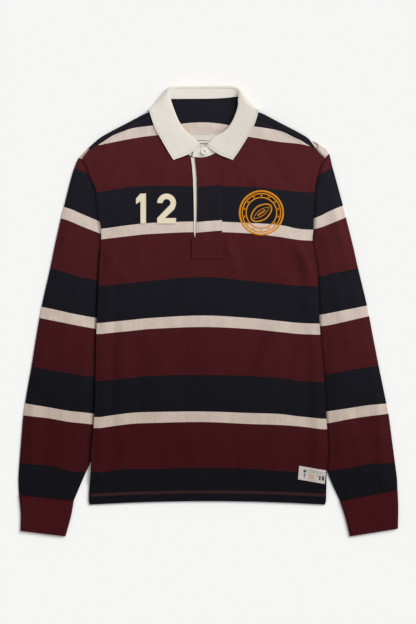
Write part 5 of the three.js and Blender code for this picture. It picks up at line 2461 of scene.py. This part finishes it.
@dataclass
class Button:
    """A four-hole button, sewn to the stand."""

    x: float = -7.6
    y: float = 286.4
    z: float = 7.9
    radius: float = 5.8
    high: float = 2.6
    dish: float = 3.7
    rim: float = 0.7
    dish_up: float = 0.7
    dish_floor: float = 0.86
    middle: float = 0.01
    hole: float = 0.75
    hole_out: float = 1.35
    hole_past: float = 1.0
    hole_points: int = 16
    around: int = 48
    sharp_from: float = 35.0
    thread_lift: float = 0.05
    stitches: Stitches = Stitches(long=2.6, pitch=1.9, thick=0.8)

    # Half section of the base and rim, as shares of the radius and the height
    side: tuple[Pair, ...] = (
        (0.84, 0),
        (0.95, 0.14),
        (1, 0.45),
        (0.98, 0.76),
        (0.9, 0.97),
        (0.8, 1),
        (0.7, 0.97),
    )

    def profile(self) -> list[Pair]:
        """The button's half section, from the middle of its base to the middle of its top."""
        side = [(self.radius * out, self.high * up) for out, up in self.side]
        low = self.high - self.rim
        slope = (self.dish, self.high - self.rim * self.dish_up)
        floor = [(self.dish * self.dish_floor, low), (self.middle, low)]
        return [(self.middle, 0), *side, slope, *floor]

    def ring(self, x: float, y: float, radius: float, points: int) -> Array:
        """Plan of a ring of points about a place."""
        angles = np.arange(points) / points * math.tau
        return np.stack([x + radius * np.cos(angles), y + radius * np.sin(angles)], 1)

    def dress(self, horn: bpy.types.Material, thread: bpy.types.Material) -> None:
        """Turns the button, drills it and sews it on.

        Args:
            horn: finish of the button.
            thread: finish of its stitches.
        """
        profile = self.profile()
        rings = [
            np.column_stack([self.ring(self.x, self.y, r, self.around), np.full(self.around, z)])
            for r, z in ((r, self.z + up) for r, up in profile)
        ]
        faces = grid_faces(len(profile), self.around, ring=True).tolist()
        faces.append(list(reversed(range(self.around))))
        start = (len(profile) - 1) * self.around
        faces.append([start + k for k in range(self.around)])
        obj = new_object("collar_button_horn", mesh_of("button", np.concatenate(rings), faces))
        out = self.hole_out
        turns = [(k + 0.5) * math.pi / 2 for k in range(4)]
        holes = [(self.x + out * math.cos(a), self.y + out * math.sin(a)) for a in turns]
        for hole in holes:
            outline = self.ring(*hole, self.hole, self.hole_points)
            low, high = self.z - self.hole_past, self.z + self.high + self.hole_past
            cut_away(obj, outline, low, high)
        settle(made_final(obj, self.sharp_from), horn, ["collar_button"], "button")
        z = self.z + self.high - self.rim + self.thread_lift
        lines = [np.array([[*holes[a], z], [*holes[a + 1], z]]) for a in (0, 2)]
        self.stitches.sew("button_thread", lines, thread)


# The studio


@dataclass
class Studio:
    """A pale surface, soft light from above and a camera that looks straight down."""

    wide: float = 6.0
    floor_points: int = 9
    floor_z: float = -0.02
    key_from: Triple = (1.85, 1.45, 1.8)
    key_soft: float = 34.0
    key_power: float = 2.64
    sky_power: float = 0.5
    sensor: float = 36.0
    far: float = 100.0
    camera_x: float = -0.00065
    camera_y: float = -0.00153
    camera_z: float = 3.125
    lens: float = 100.0

    def surface(self, finish: bpy.types.Material) -> None:
        """The surface that the shirt lies on.

        Args:
            finish: finish of the surface.
        """
        count = self.floor_points
        steps = np.linspace(-self.wide / 2, self.wide / 2, count) / MM
        x, y = np.meshgrid(steps, steps)
        points = np.stack([x, y, np.full_like(x, self.floor_z)], 2).reshape(-1, 3)
        floor = new_object("surface", mesh_of("surface", points, grid_faces(count, count)))
        floor.data.materials.append(finish)

    def key(self) -> None:
        """Soft light from far away, above the collar's right."""
        lamp = bpy.data.lights.new("key", "SUN")
        lamp.angle, lamp.energy = math.radians(self.key_soft), self.key_power
        obj = new_object("key", lamp)
        obj.location = self.key_from
        obj.rotation_euler = Vector(self.key_from).to_track_quat("Z", "Y").to_euler()

    def sky(self) -> None:
        """Even white light from all round."""
        world = bpy.data.worlds.new("studio")
        world.use_nodes = True
        background = world.node_tree.nodes["Background"].inputs
        background["Color"].default_value = (1, 1, 1, 1)
        background["Strength"].default_value = self.sky_power
        bpy.context.scene.world = world

    def camera(self) -> None:
        """The camera, straight above the shirt."""
        data = bpy.data.cameras.new("camera")
        data.lens, data.sensor_width, data.sensor_fit = self.lens, self.sensor, "AUTO"
        data.clip_end = self.far
        obj = new_object("camera", data)
        obj.location = (self.camera_x, self.camera_y, self.camera_z)
        bpy.context.scene.camera = obj

    def set_up(self, finish: bpy.types.Material) -> None:
        """Puts the surface, lights, sky and camera in place.

        Args:
            finish: finish of the surface.
        """
        self.surface(finish)
        self.key()
        self.sky()
        self.camera()
        bpy.context.scene.view_settings.view_transform = "Standard"


def main() -> None:
    """Builds the shirt, one sub-assembly at a time."""
    logging.basicConfig(level=logging.INFO, format="%(name)s: %(message)s")
    jersey = HoopedJersey().material()
    rib = RibKnit().material()
    # Painted shade: the collar's twill darkens towards the right leaf. The stand's twill is a paler
    # copy of it, painted as if lit, with painted shade that deepens from y 380 down to y 310
    twill = Woven("collar_twill", tint=(0.82, 0.77, 0.69), lean=0.13, uneven=0.7).material()
    dimmed = {"lean": 0.14, "lean_axis": "Y", "lean_from": 380.0, "lean_to": 310.0}
    inner = Woven("stand_twill", tint=(0.99, 0.95, 0.875), **dimmed).material()
    tape = Woven("label_tape", tint=(0.74, 0.70, 0.62), pitch=0.6, uneven=0.1).material()
    dull = Woven("hem_label_tape", tint=(0.54, 0.49, 0.45), pitch=0.6, uneven=0.1).material()
    felt = Felt().material()
    dark = Thread("burgundy_thread", tint=(0.11, 0.022, 0.028)).material()
    pale = Thread("cream_thread", tint=(0.74, 0.70, 0.60)).material()
    # A darker copy of the cream thread, painted with the shade that the collar's stitches lie in
    shaded = Thread("collar_thread", tint=(0.44, 0.39, 0.31)).material()
    gold = Thread("gold_thread", tint=(0.82, 0.31, 0.012), roughness=0.6, shine=0.12).material()
    inks = {
        "grey": Thread("grey_ink", tint=(0.20, 0.20, 0.22)).material(),
        "navy": Thread("navy_ink", tint=(0.07, 0.08, 0.17)).material(),
        "ink": Thread("dark_ink", tint=(0.05, 0.05, 0.07)).material(),
        "coral": Thread("coral_ink", tint=(0.74, 0.40, 0.31)).material(),
    }
    Studio().set_up(Surface().material())
    Body().dress(jersey)
    for side in Side:
        Sleeve(side).dress(jersey)
        Cuff(side).dress(rib)
    Collar().dress(twill, inner, shaded)
    PLACKET.dress(jersey, tape)
    Numerals().dress(felt, pale)
    Badge().dress(gold)
    neck = Label("neck_label", NECK_MARKS, x=-8, y=298.2, wide=84, long=38, lies_on="back_cloth")
    neck.dress(FORM.back_top, tape, inks)
    hem_box = {"x": 186.6, "y": -294.9, "wide": 48.8, "long": 24.6}
    hem = Label("hem_label", HEM_MARKS, **hem_box, turn=-0.166, skew=0.07)
    hem.dress(FORM.front_top, dull, inks)
    Button().dress(Horn().material(), pale)
    Seams().dress(dark)


if __name__ == "__main__":
    main()
